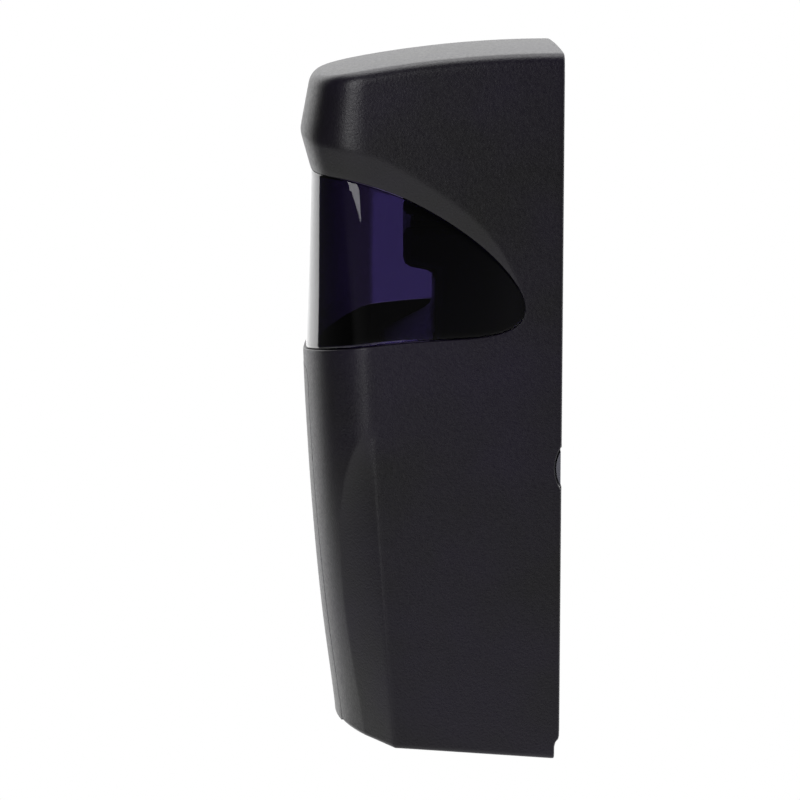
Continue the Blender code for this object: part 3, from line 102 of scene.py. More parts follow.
OPENING_REAR = 28.0 * MM
LEVER_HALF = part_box("push_lever")[1].x
LEVER_CORNER = 6.0 * MM
SLOT_TOP = SILL - 5.0 * MM
LENS_WALL = 2.0 * MM
LENS_SILL_DEPTH = 1.1 * MM
LENS_SILL_RUN = 0.25  # share of the way from the tip over which the sill reaches its depth
LEVER_WALL = 2.5 * MM
LEVER_RIB = 8.5 * MM
LEVER_FOOT = 1.5 * MM  # radius of the lever's lower corners
PAD_HALF = 4.0 * MM
PAD_FACE = DEPTH - 19.0 * MM
PUMP_HEIGHT = 30.0 * MM
PIVOT = Vector((0, -(DEPTH - 10.7 * MM), SLOT_TOP - 10.5 * MM))
PIVOT_EAR = 4.0 * MM
PIVOT_HOLE = 1.65 * MM
SPRING_TURNS = 6
PUMP_WIRE = 0.6 * MM  # radius of the pump spring's wire
TAB_WIRE = 0.35 * MM

# Gaps that are drawn narrower than the CAD's.
REAR_GAP = 0.1 * MM
LEVER_GAP = 0.3 * MM
LENS_GAP = 0.05 * MM

# Outline curves, as (share of the way, share of the rise) pairs.
LOWER_SETBACK = ((0.0, 12.9), (0.045, 12.7), (0.32, 7.4), (0.59, 3.7), (0.86, 1.2), (1.0, 0.3))
SIDE_SETBACK = ((0.0, 9.1), (0.37, 4.8), (0.69, 1.8), (1.0, 0.0))
FACET_EDGE = ((0.0, 0.754), (0.43, 0.746), (0.69, 0.81), (0.82, 0.877), (0.91, 0.938), (1.0, 1.0))
UPPER_LINE = ((0, 0), (0.17, 0.2), (0.37, 0.505), (0.52, 0.746), (0.62, 0.89), (0.73, 0.985), (1, 1))
LOWER_LINE = ((0, 0), (0.1, 0.2), (0.22, 0.357), (0.34, 0.455), (0.6, 0.557), (0.83, 0.795), (1, 1))
BROW_LINE = ((0, 0), (0.17, 0.175), (0.27, 0.35), (0.37, 0.507), (0.51, 0.698), (0.67, 0.899), (1, 1))
RECESS = ((0.0, 0.0), (0.17, 0.8), (0.37, 1.9), (0.55, 2.7), (0.67, 3.1), (1.0, 4.2))

# ---------------------------------------------------------------- fineness of the surfaces
CREASE = 1.1 * MM  # rows and columns this far either side of a crease round it
MIN_FACET = 5.0 * MM  # the facet's columns never come closer together than this
SAME = 0.001 * MM  # points closer than this are one point
LEVER_SIDE = LEVER_HALF + LEVER_GAP
FIXED_COLUMNS = (0.0, 9.0 * MM, 18.0 * MM, LEVER_SIDE - 1.5 * MM, LEVER_SIDE + 1.5 * MM)
FRONT_SHARES = (0.14, 0.28, 0.42, 0.55, 0.67, 0.78, 0.87, 0.94)
SIDE_SHARES = (0.12, 0.24, 0.36, 0.48, 0.59, 0.69, 0.78, 0.86, 0.92, 0.965, 0.99)
REAR_SHARES = (0.12, 0.35, 0.7, 0.93, 1.0)
LENS_SHARES = (0.0, 0.012, 0.1, 0.25, 0.42, 0.6, 0.77, 0.9, 0.988, 1.0)
FLOOR_ROWS = (1.0, 0.7, 0.4, 0.15, 0.03)
LOWER_LEVELS = tuple(
    level * MM
    for level in (7.4, 7.9, 11, 17, 24, 32, 41, 51, 61, 71, 81, 90, 98, 104, 107, 108.6, 109.8, 111.5,
                  114, 117, 120, 122.4, 124, 125.3, 127, 131, 135, 139, 143, 147)
)
SILL_ROWS = (0.45, 0.8)
BAND_ROWS = (0.35, 0.65)
HOOD_ROWS = (0.2, 0.42, 0.66, 0.9)
ROOF_ROWS = (0.1, 0.3, 0.6, 1.0)
FLOOR_STEPS = 4
FLOOR_HOLD = 0.2  # a row this share of the way up to the next level keeps the lower fillet tight
FILLET_STEPS = 5
EDGE_ROW = 0.5 * MM  # a row this far from the window's edge keeps its lip crisp
EDGE_SHARE = 0.2  # and on a narrow band it is no further than this share of the band
BROW_SOFT = 1.6 * MM  # rows this far either side of the brow's fold round it
BROW_SHARE = 0.25
ROD_SIDES = 48
LEVER_COLUMNS = 28
LEVER_ROWS = 64
LEVER_EDGE = 0.2 * MM  # rounding of the lever's edges
PAST = MM  # cutters reach this far past what they cut
INSIDE = 0.05 * MM  # shapes joined to the lever stay this far inside its faces


# ================================================================ curves
def curve_value(points, at):
    """Height of a smooth curve through (x, y) points, read at one x."""
    at = min(max(at, points[0][0]), points[-1][0])
    slopes = []
    for k in range(len(points)):
        before = points[max(k - 1, 0)]
        after = points[min(k + 1, len(points) - 1)]
        slopes.append((after[1] - before[1]) / (after[0] - before[0]))
    for k in range(len(points) - 1):
        (x0, y0), (x1, y1) = points[k], points[k + 1]
        if at <= x1:
            break
    span = x1 - x0
    t = (at - x0) / span
    rise = (3 - 2 * t) * t * t
    return (
        y0 * (1 - rise)
        + y1 * rise
        + slopes[k] * span * t * (1 - t) ** 2
        - slopes[k + 1] * span * t * t * (1 - t)
    )


def ease(t):
    """Smooth step from 0 to 1."""
    t = min(max(t, 0.0), 1.0)
    return t * t * (3 - 2 * t)


# ================================================================ the cover's outer surface
def centre_line(z):
    """Y of the front at X = 0."""
    if z > BROW:
        return -(DEPTH - HOOD_SLOPE * (z - BROW))
    if z > SILL:
        share = (z - SILL) / (BROW - SILL)
        return -(DEPTH - LOWER_SETBACK[-1][1] * MM * (1 - share))
    return -(DEPTH - curve_value(LOWER_SETBACK, z / SILL) * MM)


def side_end(z):
    """Y where the flat side meets the front."""
    return -(DEPTH - SHOULDER - curve_value(SIDE_SETBACK, z / SILL) * MM)


def front_y(x, z):
    """Y of the front surface: a squarish ellipse at the top that eases into an arc at the bottom."""
    middle = centre_line(z)
    reach = min(abs(x) / HALF, 1.0)
    power = 2 + (HOOD_POWER - 2) * ease((z - SILL) / (BROW - SILL))
    ellipse = (side_end(z) - middle) * (1 - (1 - reach**power) ** (1 / power))
    arc = FRONT_RADIUS - math.sqrt(FRONT_RADIUS**2 - x * x)
    share = ease(1 - z / (0.9 * SILL))
    return middle + ellipse * (1 - share) + arc * share


def facet_edge(z):
    """X of the facet's front edge; at HALF the facet has no width."""
    return HALF * curve_value(FACET_EDGE, z / FACET_TOP)


def rear_edge(z):
    """Y of the side's rear edge, with its finger notch and the step at its foot."""
    if z < STEP_HEIGHT:
        return -STEP_DEPTH
    rise = abs(z - NOTCH_HEIGHT)
    bite = 0.0
    if rise < NOTCH_RADIUS:
        bite = math.sqrt(NOTCH_RADIUS**2 - rise**2) - (NOTCH_RADIUS - NOTCH_DEPTH)
    return -max(REAR_GAP, bite)


def plan_columns(z):
    """Point and outward direction of every column of one half of the plan at a height."""
    edge = facet_edge(z)
    swing = np.linspace(0, math.pi / 2, 141)
    xs = list(edge * np.sin(swing))
    ys = [front_y(x, z) for x in xs]
    corner = side_end(z)
    rear = rear_edge(z)
    xs += [HALF, HALF, HALF]
    ys += [corner, -TIP_SETBACK, rear]
    way = np.concatenate(([0.0], np.cumsum(np.hypot(np.diff(xs), np.diff(ys)))))
    inner, outer, tip, end = way[len(swing) - 1], way[-3], way[-2], way[-1]
    spread = max(0.0, MIN_FACET - (outer - inner)) / 2
    inner, outer = inner - spread, outer + spread
    soft = min(CREASE, (outer - inner) * 0.25)
    fixed = [float(np.interp(x, xs[: len(swing)], way[: len(swing)])) for x in FIXED_COLUMNS]
    stations = list(fixed)
    stations += [fixed[-1] + (inner - soft - fixed[-1]) * share for share in FRONT_SHARES]
    stations += [inner - soft, inner, inner + soft, (inner + outer) / 2, outer - soft, outer, outer + soft]
    stations += [outer + soft + (tip - outer - soft) * share for share in SIDE_SHARES]
    stations.append(tip)
    stations += [tip + (end - tip) * share for share in REAR_SHARES]
    result = []
    for at in stations:
        spot = Vector((np.interp(at, way, xs), np.interp(at, way, ys)))
        low, high = max(at - 2 * soft, 0.0), min(at + 2 * soft, end)
        along = Vector((np.interp(high, way, xs) - np.interp(low, way, xs),
                        np.interp(high, way, ys) - np.interp(low, way, ys)))
        if at == 0.0:
            along = Vector((1.0, 0.0))
        along.normalize()
        result.append((spot, Vector((along.y, -along.x))))
    return result, stations, tip


COLUMNS = len(FIXED_COLUMNS) + len(FRONT_SHARES) + 7 + len(SIDE_SHARES) + 1 + len(REAR_SHARES)
TIP_COLUMN = COLUMNS - 1 - len(REAR_SHARES)
PLANS = {}


def wall_point(column, z, inset):
    """Point of a column at a height, moved in from the outer surface."""
    key = round(z, 6)
    if key not in PLANS:
        PLANS[key] = plan_columns(key)[0]
    spot, outward = PLANS[key][abs(column)]
    x = spot.x - outward.x * inset
    return Vector((-x if column < 0 else x, spot.y - outward.y * inset, z))


def ways_from_tip():
    """Square root of each column's share of the way from the window's rear tip to the front's middle."""
    stations, tip = plan_columns((SILL + WINDOW_TOP) / 2)[1:]
    return [math.sqrt(max(1 - at / tip, 0.0)) for at in stations]


WAYS = ways_from_tip()


def window_top(way):
    return TIP + (WINDOW_TOP - TIP) * curve_value(UPPER_LINE, way)


def window_bottom(way):
    return TIP + (SILL - TIP) * curve_value(LOWER_LINE, way)


def brow_height(way):
    return TIP + (BROW - TIP) * curve_value(BROW_LINE, way)


def recess(way):
    """How far the window's upper edge lies below the outer surface."""
    return curve_value(RECESS, way) * MM


def roof_height(x, y):
    return HEIGHT - ROOF_DROP * (y / ROOF_REACH) ** 2 - ROOF_CROWN * (x / HALF) ** 2


def floor_height(y):
    return FLOOR_RISE * min(abs(y) / (DEPTH - SHOULDER), 1.0)


# ================================================================ mesh helpers
def make_object(name, bm):
    """Turn a bmesh, in heights above the lower edge, into a linked object in the frame."""
    bmesh.ops.recalc_face_normals(bm, faces=bm.faces)
    bmesh.ops.translate(bm, vec=(0, 0, BASE), verts=bm.verts)
    mesh = bpy.data.meshes.new(name)
    bm.to_mesh(mesh)
    bm.free()
    result = bpy.data.objects.new(name, mesh)
    bpy.context.scene.collection.objects.link(result)
    return result


def grid_shell(outer, inner, keep, name):
    """Close the space between two matching grids of points; keep(c, r) says which cells exist."""
    bm = bmesh.new()
    number = {}
    outer_verts = []
    inner_verts = []

    def vertex(c, r):
        key = tuple(round(value / SAME) for value in outer[c][r])
        if key not in number:
            number[key] = len(outer_verts)
            outer_verts.append(bm.verts.new(outer[c][r]))
            inner_verts.append(bm.verts.new(inner[c][r]))
        return number[key]

    edges = set()
    for c in range(len(outer) - 1):
        for r in range(len(outer[0]) - 1):
            if not keep(c, r):
                continue
            corners = (vertex(c, r), vertex(c + 1, r), vertex(c + 1, r + 1), vertex(c, r + 1))
            corners = list(dict.fromkeys(corners))
            if len(corners) < 3:
                continue
            bm.faces.new([outer_verts[k] for k in corners])
            bm.faces.new([inner_verts[k] for k in reversed(corners)])
            edges.update(zip(corners, corners[1:] + corners[:1]))
    for a, b in sorted(edges):
        if (b, a) not in edges:
            bm.faces.new((outer_verts[b], outer_verts[a], inner_verts[a], inner_verts[b]))
    loose = [v for v in bm.verts if not v.link_faces]
    bmesh.ops.delete(bm, geom=loose, context="VERTS")
    return make_object(name, bm)


def apply_modifiers(piece):
    depsgraph = bpy.context.evaluated_depsgraph_get()
    mesh = bpy.data.meshes.new_from_object(piece.evaluated_get(depsgraph))
    piece.modifiers.clear()
    piece.data = mesh
    return piece


def subdivide(piece):
    modifier = piece.modifiers.new("subdivide", "SUBSURF")
    modifier.levels = 1
    modifier.render_levels = 1
    return apply_modifiers(piece)


def boolean(piece, operation, tool):
    """Join, cut or intersect a piece with a tool, which is used up."""
    modifier = piece.modifiers.new(operation, "BOOLEAN")
    modifier.object = tool
    modifier.operation = operation
    modifier.solver = "EXACT"
    apply_modifiers(piece)
    bpy.data.objects.remove(tool)
    return piece


def cut(piece, *tools):
    for tool in tools:
        boolean(piece, "DIFFERENCE", tool)
    return piece


def shade(piece, angle=35.0):
    """Smooth shading with edges sharper than the angle kept as corners."""
    piece.data.shade_smooth()
    piece.data.set_sharp_from_angle(angle=math.radians(angle))
    return piece


def loft(loops, name):
    """Bridge a list of loops with the same number of points, and close the two ends."""
    bm = bmesh.new()
    rings = [[bm.verts.new(p) for p in loop] for loop in loops]
    count = len(loops[0])
    for first, second in zip(rings, rings[1:]):
        for k in range(count):
            n = (k + 1) % count
            bm.faces.new((first[k], first[n], second[n], second[k]))
    bm.faces.new(list(reversed(rings[0])))
    bm.faces.new(rings[-1])
    return make_object(name, bm)


def box(x, y, z):
    bm = bmesh.new()
    bmesh.ops.create_cube(bm, size=1.0)
    size = Vector((abs(x[1] - x[0]), abs(y[1] - y[0]), abs(z[1] - z[0])))
    bmesh.ops.scale(bm, vec=size, verts=bm.verts)
    bmesh.ops.translate(bm, vec=Vector((sum(x), sum(y), sum(z))) / 2, verts=bm.verts)
    return make_object("box", bm)


def rod(radius, start, end):
    bm = bmesh.new()
    axis = Vector(end) - Vector(start)
    size = {"radius1": radius, "radius2": radius, "depth": axis.length}
    bmesh.ops.create_cone(bm, cap_ends=True, segments=ROD_SIDES, **size)
    turn = Vector((0, 0, 1)).rotation_difference(axis).to_matrix()
    bmesh.ops.rotate(bm, cent=(0, 0, 0), matrix=turn, verts=bm.verts)
    bmesh.ops.translate(bm, vec=(Vector(start) + Vector(end)) / 2, verts=bm.verts)
    return make_object("rod", bm)


# ================================================================ cover shell
def toward_middle(edge, share, height):
    """Slide a roof or floor point towards the plane of symmetry; the front ones meet at one spot."""
    middle_y = max(edge.y, side_end(edge.z))
    x = edge.x * (1 - share)
    y = edge.y + (middle_y - edge.y) * share
    return Vector((x, y, height(x, y)))


def cover_column(column, wall):
    """Points of one column from the middle of the floor, up the wall, to the middle of the roof."""
    way = WAYS[abs(column)]
    points = []

    radius = max(FLOOR_FILLET - wall, MIN_FILLET)
    start = wall_point(column, FLOOR_RISE, wall + radius)
    floor = floor_height(start.y) + wall
    for share in FLOOR_ROWS:
        points.append(toward_middle(start, share, lambda x, y: floor_height(y) + wall))
    for k in range(FLOOR_STEPS + 1):
        angle = math.pi / 2 * k / FLOOR_STEPS
        inset = wall + radius * (1 - math.sin(angle))
        points.append(wall_point(column, floor + radius * (1 - math.cos(angle)), inset))
    top = points[-1].z
    points.append(wall_point(column, top + (LOWER_LEVELS[0] - top) * FLOOR_HOLD, wall))
    for level in LOWER_LEVELS:
        points.append(wall_point(column, level, wall))

    low, high, brow = window_bottom(way), window_top(way), brow_height(way)
    last = LOWER_LEVELS[-1]
    for share in SILL_ROWS:
        points.append(wall_point(column, last + (low - last) * share, wall))
    points.append(wall_point(column, low - EDGE_ROW, wall))
    points.append(wall_point(column, low, wall))

    band = brow - high
    lip = min(EDGE_ROW, band * EDGE_SHARE)
    soft = min(BROW_SOFT, band * BROW_SHARE)
    for rise in (0.0, lip, *(band * share for share in BAND_ROWS), band - soft, band):
        share = rise / band if band > SAME else 1.0
        points.append(wall_point(column, high + rise, wall + recess(way) * (1 - share)))

    side = SIDEWAYS[abs(column)]
    radius = max(ROOF_FILLET_SIDE * side + ROOF_FILLET_FRONT * (1 - side) - wall, MIN_FILLET)
    corner = wall_point(column, HEIGHT - ROOF_FILLET_FRONT - ROOF_DROP, wall + radius)
    top = roof_height(corner.x, corner.y) - wall - radius
    points.append(wall_point(column, brow + soft, wall))
    for share in HOOD_ROWS:
        points.append(wall_point(column, brow + (top - brow) * share, wall))
    for k in range(FILLET_STEPS + 1):
        angle = math.pi / 2 * k / FILLET_STEPS
        inset = wall + radius * (1 - math.cos(angle))
        points.append(wall_point(column, top + radius * math.sin(angle), inset))
    edge = points[-1]
    for share in ROOF_ROWS:
        points.append(toward_middle(edge, share, lambda x, y: roof_height(x, y) - wall))
    return points


# How far each column faces sideways, from 0 at the front to 1 at the flat side.
SIDEWAYS = [outward.x**2 for _, outward in plan_columns(BROW)[0]]
WINDOW_ROW = len(FLOOR_ROWS) + FLOOR_STEPS + 2 + len(LOWER_LEVELS) + len(SILL_ROWS) + 1


def cover_shell():
    columns = range(-(COLUMNS - 1), COLUMNS)
    outer = [cover_column(c, 0.0) for c in columns]
    inner = [cover_column(c, COVER_WALL) for c in columns]
    shell = grid_shell(outer, inner, lambda c, r: r != WINDOW_ROW, "cover")
    subdivide(shell)
    half = HALF - COVER_WALL - 0.5 * MM
    behind_floor = box((-half, half), (-FLOOR_REAR, PAST), (-PAST, FLOOR_RISE + COVER_WALL + PAST))
    cut(shell, lever_cutout(), behind_floor)
    return shade(shell)


# ================================================================ lever
def lever_outline(inset, steps=8):
    """Closed (x, z) outline of the lever's face, its two upper corners rounded, moved in by the inset."""
    half = LEVER_HALF - inset
    low = FLOOR_RISE + LEVER_GAP + inset
    high = SLOT_TOP - LEVER_GAP - inset
    radius = LEVER_CORNER - LEVER_GAP - inset
    foot = LEVER_FOOT - inset
    right = ((half, low, foot, -90), (half, high, radius, 0))
    left = ((-half, high, radius, 90), (-half, low, foot, 180))
    points = []
    for x, z, r, first in right + left:
        centre_x = x - math.copysign(r, x)
        centre_z = z + r if z == low else z - r
        for k in range(steps + 1):
            angle = math.radians(first + 90 * k / steps)
            points.append((centre_x + r * math.cos(angle), centre_z + r * math.sin(angle)))
    return points


def lever_cutout():
    """Opening for the lever, carried on down through the cover's floor."""
    middle = (FLOOR_RISE + SLOT_TOP) / 2
    outline = [(x, z if z > middle else -2 * PAST) for x, z in lever_outline(-LEVER_GAP)]
    return extruded(list(dict.fromkeys(outline)), (-(DEPTH + PAST), -OPENING_REAR))


def front_slab(half, heights, depths):
    """Slice of the cover's front between two depths, two heights and -half to half."""
    xs = [-half + 2 * half * c / LEVER_COLUMNS for c in range(LEVER_COLUMNS + 1)]
    levels = [heights[0] + (heights[1] - heights[0]) * r / LEVER_ROWS for r in range(LEVER_ROWS + 1)]
    outer = [[Vector((x, front_y(x, z) + depths[0], z)) for z in levels] for x in xs]
    inner = [[Vector((x, front_y(x, z) + depths[1], z)) for z in levels] for x in xs]
    return grid_shell(outer, inner, lambda c, r: True, "lever")


def extruded(outline, y):
    """Solid with a closed (x, z) outline between two y values."""
    loops = [[Vector((x, depth, z)) for x, z in outline] for depth in sorted(y, reverse=True)]
    return loft(loops, "extruded")


def push_lever():
    """Lever that carries on the cover's front surface, with edge ribs, pivot ears and a round-nosed pad."""
    high = SLOT_TOP + PAST
    lever = front_slab(LEVER_HALF + PAST, (FLOOR_RISE, high), (0.0, LEVER_RIB))
    boolean(lever, "INTERSECT", extruded(lever_outline(0.0), (-(DEPTH + PAST), -OPENING_REAR)))
    low = FLOOR_RISE + LEVER_GAP + LEVER_WALL
    cut(lever, front_slab(LEVER_HALF - LEVER_WALL, (low, high), (LEVER_WALL, LEVER_RIB + PAST)))
    modifier = lever.modifiers.new("edge", "BEVEL")
    modifier.width = LEVER_EDGE
    modifier.segments = 2
    modifier.limit_method = "ANGLE"
    modifier.angle_limit = math.radians(50)
    apply_modifiers(lever)
    y = (front_y(LEVER_HALF, PIVOT.z) + LEVER_WALL, PIVOT.y + PIVOT_EAR)
    z = (PIVOT.z - PIVOT_EAR, PIVOT.z + PIVOT_EAR)
    for side in (-1, 1):
        x = (side * (LEVER_HALF - LEVER_WALL), side * (LEVER_HALF - INSIDE))
        boolean(lever, "UNION", box(x, y, z))
    nose = Vector((PAD_HALF, -(PAD_FACE + PAD_HALF), PUMP_HEIGHT))
    y = (front_y(0, PUMP_HEIGHT) + LEVER_WALL / 2, nose.y)
    z = (PUMP_HEIGHT - PAD_HALF, PUMP_HEIGHT + PAD_HALF)
    boolean(lever, "UNION", box((-PAD_HALF, PAD_HALF), y, z))
    boolean(lever, "UNION", rod(PAD_HALF - INSIDE, nose - Vector((2 * PAD_HALF, 0, 0)), nose))
    reach = Vector((LEVER_HALF + PAST, 0, 0))
    cut(lever, rod(PIVOT_HOLE, PIVOT - reach, PIVOT + reach))
    return shade(lever, 32.0)


# ================================================================ window lens
def lens_column(column, wall):
    way = WAYS[abs(column)]
    tip = abs(column) >= TIP_COLUMN
    low = TIP if tip else window_bottom(way) + LENS_GAP
    high = TIP if tip else window_top(way) - LENS_GAP
    sill = LENS_SILL_DEPTH * ease(way / LENS_SILL_RUN)
    points = []
    for share in LENS_SHARES:
        depth = sill + (recess(way) - sill) * share
        spot = wall_point(column, low + (high - low) * share, wall + depth)
        if tip:
            spot.y -= LENS_GAP
        points.append(spot)
    return points


def window_lens():
    columns = range(-TIP_COLUMN, TIP_COLUMN + 1)
    outer = [lens_column(c, 0.0) for c in columns]
    inner = [lens_column(c, LENS_WALL) for c in columns]
    lens = grid_shell(outer, inner, lambda c, r: True, "window")
    subdivide(lens)
    return shade(lens, 40.0)


# ================================================================ springs
def coil(radius, wire, start, end, turns, steps=32, sides=12):
    """Round wire wound round the line from start to end."""
    axis = (end - start).normalized()
    across = axis.orthogonal().normalized()
    over = axis.cross(across)
    length = (end - start).length - 2 * wire
    loops = []
    for k in range(turns * steps + 1):
        angle = 2 * math.pi * k / steps
        out = across * math.cos(angle) + over * math.sin(angle)
        centre = start + axis * (wire + length * k / (turns * steps)) + out * radius
        ring = [2 * math.pi * n / sides for n in range(sides)]
        loops.append([centre + out * wire * math.cos(a) + axis * wire * math.sin(a) for a in ring])
    return shade(loft(loops, "spring"), 60.0)


def spring(name, axis, fixed, wire):
    """Round-wired spring in the place of a CAD one, wound from the end given as fixed."""
    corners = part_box(name)
    middle = (corners[0] + corners[1]) / 2
    start, end = middle.copy(), middle.copy()
    start[axis], end[axis] = corners[fixed][axis], corners[1 - fixed][axis]
    drop = Vector((0, 0, BASE))
    radius = (corners[1].z - corners[0].z) / 2 - wire
    piece = coil(radius, wire, start - drop, end - drop, SPRING_TURNS)
    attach(piece, "base")
    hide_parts(name)
    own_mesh(piece)
    return piece


# ================================================================ material values
PLASTICS = {
    # slot: (dark colour, light colour, roughness, grain, strength of the grain)
    "cover_plastic": ((0.0060, 0.0055, 0.0058), (0.0110, 0.0070, 0.0210), 0.38, 1300.0, 1.0),
    "inner_plastic": ((0.010, 0.010, 0.011), (0.014, 0.014, 0.015), 0.5, 900.0, 0.2),
    "tank_plastic": ((0.013, 0.012, 0.015), (0.018, 0.016, 0.022), 0.35, 600.0, 0.15),
    "tab_plastic": ((0.12, 0.12, 0.15), (0.15, 0.15, 0.18), 0.42, 900.0, 0.2),
    "pump_plastic": ((0.50, 0.50, 0.47), (0.57, 0.57, 0.54), 0.38, 700.0, 0.15),
    "rubber": ((0.016, 0.016, 0.016), (0.026, 0.026, 0.026), 0.75, 1200.0, 0.3),
}
PATCHES = 18.0  # scale of the soft colour patches
ROUGH_SPREAD = 0.05
GRAIN_DEPTH = 0.09 * MM
WINDOW_PASSES = (0.13, 0.11, 0.23)  # red, green and blue left after one wall of the window
WINDOW_BEND = -(DEPTH - SHOULDER)  # painted shade darkens the window's colour in front of this, where it turns to the front
BEND_SOFT = MM
SIDE_TINT = (1.0, 0.97, 1.0)
# Colour of the window's front: painted shade, darker for the light's longer way through it.
FRONT_PAINTED_SHADE = (0.60, 0.57, 0.52)


# ================================================================ material helpers
NOISE_LOW, NOISE_HIGH = 0.3, 0.7  # most of a noise texture's values lie between these


def new_material(name):
    result = bpy.data.materials.new(name)
    result.use_nodes = True
    tree = result.node_tree
    return result, tree, tree.nodes["Principled BSDF"]


def add_node(tree, kind, inputs=None, **settings):
    """New node with its settings, and inputs given as values or as sockets to link from."""
    node = tree.nodes.new(kind)
    for key, value in settings.items():
        setattr(node, key, value)
    for key, value in (inputs or {}).items():
        if isinstance(value, bpy.types.NodeSocket):
            tree.links.new(value, node.inputs[key])
        else:
            node.inputs[key].default_value = value
    return node


def noise(tree, scale, detail=2.0, roughness=0.5):
    where = add_node(tree, "ShaderNodeTexCoord").outputs["Object"]
    return add_node(tree, "ShaderNodeTexNoise", {"Vector": where, "Scale": scale, "Detail": detail,
                                                 "Roughness": roughness}).outputs["Fac"]


def spread(tree, value, low, high):
    """Stretch a noise texture's values over a range."""
    ends = {"From Min": NOISE_LOW, "From Max": NOISE_HIGH, "To Min": low, "To Max": high}
    return add_node(tree, "ShaderNodeMapRange", {"Value": value, **ends}).outputs["Result"]


def maths(tree, operation, *values):
    """Result of one maths step on sockets and numbers."""
    return add_node(tree, "ShaderNodeMath", dict(enumerate(values)), operation=operation).outputs[0]


def ramp(tree, value, low, high, first, last):
    """Smooth change from first to last as a value goes from low to high."""
    ends = {"From Min": low, "From Max": high, "To Min": first, "To Max": last}
    node = add_node(tree, "ShaderNodeMapRange", {"Value": value, **ends}, interpolation_type="SMOOTHSTEP")
    return node.outputs["Result"]


def mix_colour(tree, share, first, second):
    node = add_node(tree, "ShaderNodeMix", data_type="RGBA")
    tree.links.new(share, node.inputs["Factor"])
    node.inputs["A"].default_value = (*first, 1.0)
    node.inputs["B"].default_value = (*second, 1.0)
    return node.outputs["Result"]


def grained_plastic(name, dark, light, roughness, grain, strength):
    """Moulded plastic: two close colours in soft patches, and a fine grain in its bump and roughness."""
    result, tree, shader = new_material(name)
    colour = mix_colour(tree, spread(tree, noise(tree, PATCHES, 3.0), 0.0, 1.0), dark, light)
    tree.links.new(colour, shader.inputs["Base Color"])
    rough = spread(tree, noise(tree, grain * 0.6), roughness - ROUGH_SPREAD, roughness + ROUGH_SPREAD)
    tree.links.new(rough, shader.inputs["Roughness"])
    height = {"Height": noise(tree, grain, 2.0, 0.5), "Strength": strength, "Distance": GRAIN_DEPTH}
    bump = add_node(tree, "ShaderNodeBump", height)
    tree.links.new(bump.outputs["Normal"], shader.inputs["Normal"])
    return result


def brushed_steel(name):
    result, tree, shader = new_material(name)
    colour = mix_colour(tree, noise(tree, 900.0), (0.50, 0.50, 0.49), (0.66, 0.66, 0.65))
    tree.links.new(colour, shader.inputs["Base Color"])
    tree.links.new(spread(tree, noise(tree, 2500.0), 0.22, 0.34), shader.inputs["Roughness"])
    shader.inputs["Metallic"].default_value = 1.0
    return result


def window_plastic(name):
    """See-through violet plastic, with painted shade in its colour at the front, where the light's way
    through it is longer.
    """
    result, tree, shader = new_material(name)
    where = add_node(tree, "ShaderNodeTexCoord").outputs["Object"]
    depth = add_node(tree, "ShaderNodeSeparateXYZ", {"Vector": where}).outputs["Y"]
    bend = maths(tree, "ADD", depth, spread(tree, noise(tree, 30.0), 0.0, BEND_SOFT))
    # Mask of the painted shade at the window's front; the darker colour stands in for light lost on the
    # longer way.
    front = ramp(tree, bend, WINDOW_BEND - BEND_SOFT, WINDOW_BEND + BEND_SOFT, 1.0, 0.0)
    tree.links.new(mix_colour(tree, front, SIDE_TINT, FRONT_PAINTED_SHADE), shader.inputs["Base Color"])
    shader.inputs["Transmission Weight"].default_value = 1.0
    shader.inputs["Roughness"].default_value = 0.02
    shader.inputs["IOR"].default_value = 1.49
    height = {"Height": noise(tree, 45.0, 1.0), "Strength": 0.03, "Distance": MM}
    bump = add_node(tree, "ShaderNodeBump", height)
    tree.links.new(bump.outputs["Normal"], shader.inputs["Normal"])
    loss = [-math.log(share) / LENS_WALL for share in WINDOW_PASSES]
    body = add_node(tree, "ShaderNodeVolumeAbsorption", {"Density": max(loss)})
    body.inputs["Color"].default_value = (*(1 - each / max(loss) for each in loss), 1.0)
    tree.links.new(body.outputs["Volume"], tree.nodes["Material Output"].inputs["Volume"])
    return result


def make_materials():
    made = {name: grained_plastic(name, *values) for name, values in PLASTICS.items()}
    made["window_plastic"] = window_plastic("window_plastic")
    made["steel"] = brushed_steel("steel")
    return made


def dress(piece, material):
    piece.data.materials.clear()
    piece.data.materials.append(material)
    return piece


# ================================================================ light, floor and camera
BRIGHT_SPAN = math.radians(36.0)  # the bright background ends this far from -X, on the front's side
SPAN_EDGE = math.radians(2.0)
BRIGHT = 1.35  # the background behind the dispenser
BELOW = 0.8  # the floor under the dispenser, as seen this steeply and more
BELOW_NEAR = -0.5
BELOW_FAR = -0.22
DIM_SIDE = 0.03  # the room to the sides
DIM_LOW = 0.28  # the room round the camera, low down and at eye height
DIM_LEVEL = 0.02
FLOOR_DROP = 0.75  # floor below the origin
FLOOR_HALF = 20.0
LIGHTS = (
    # name, place, what it points at, size, power
    ("key", (1.252, -0.782, 0.52), (0.0, -0.08, 0.07), (0.72, 1.12), 9.5),
    ("top", (-0.3, -0.3, 1.3), (0.0, -0.05, 0.0), (0.9, 0.9), 5.0),
)
CAMERA_SPOT = (1.229, -0.0629, 0.1961)
CAMERA_DIP = 9.4  # degrees below level
CAMERA_LENS = 137.25
CAMERA_SENSOR = 36.0


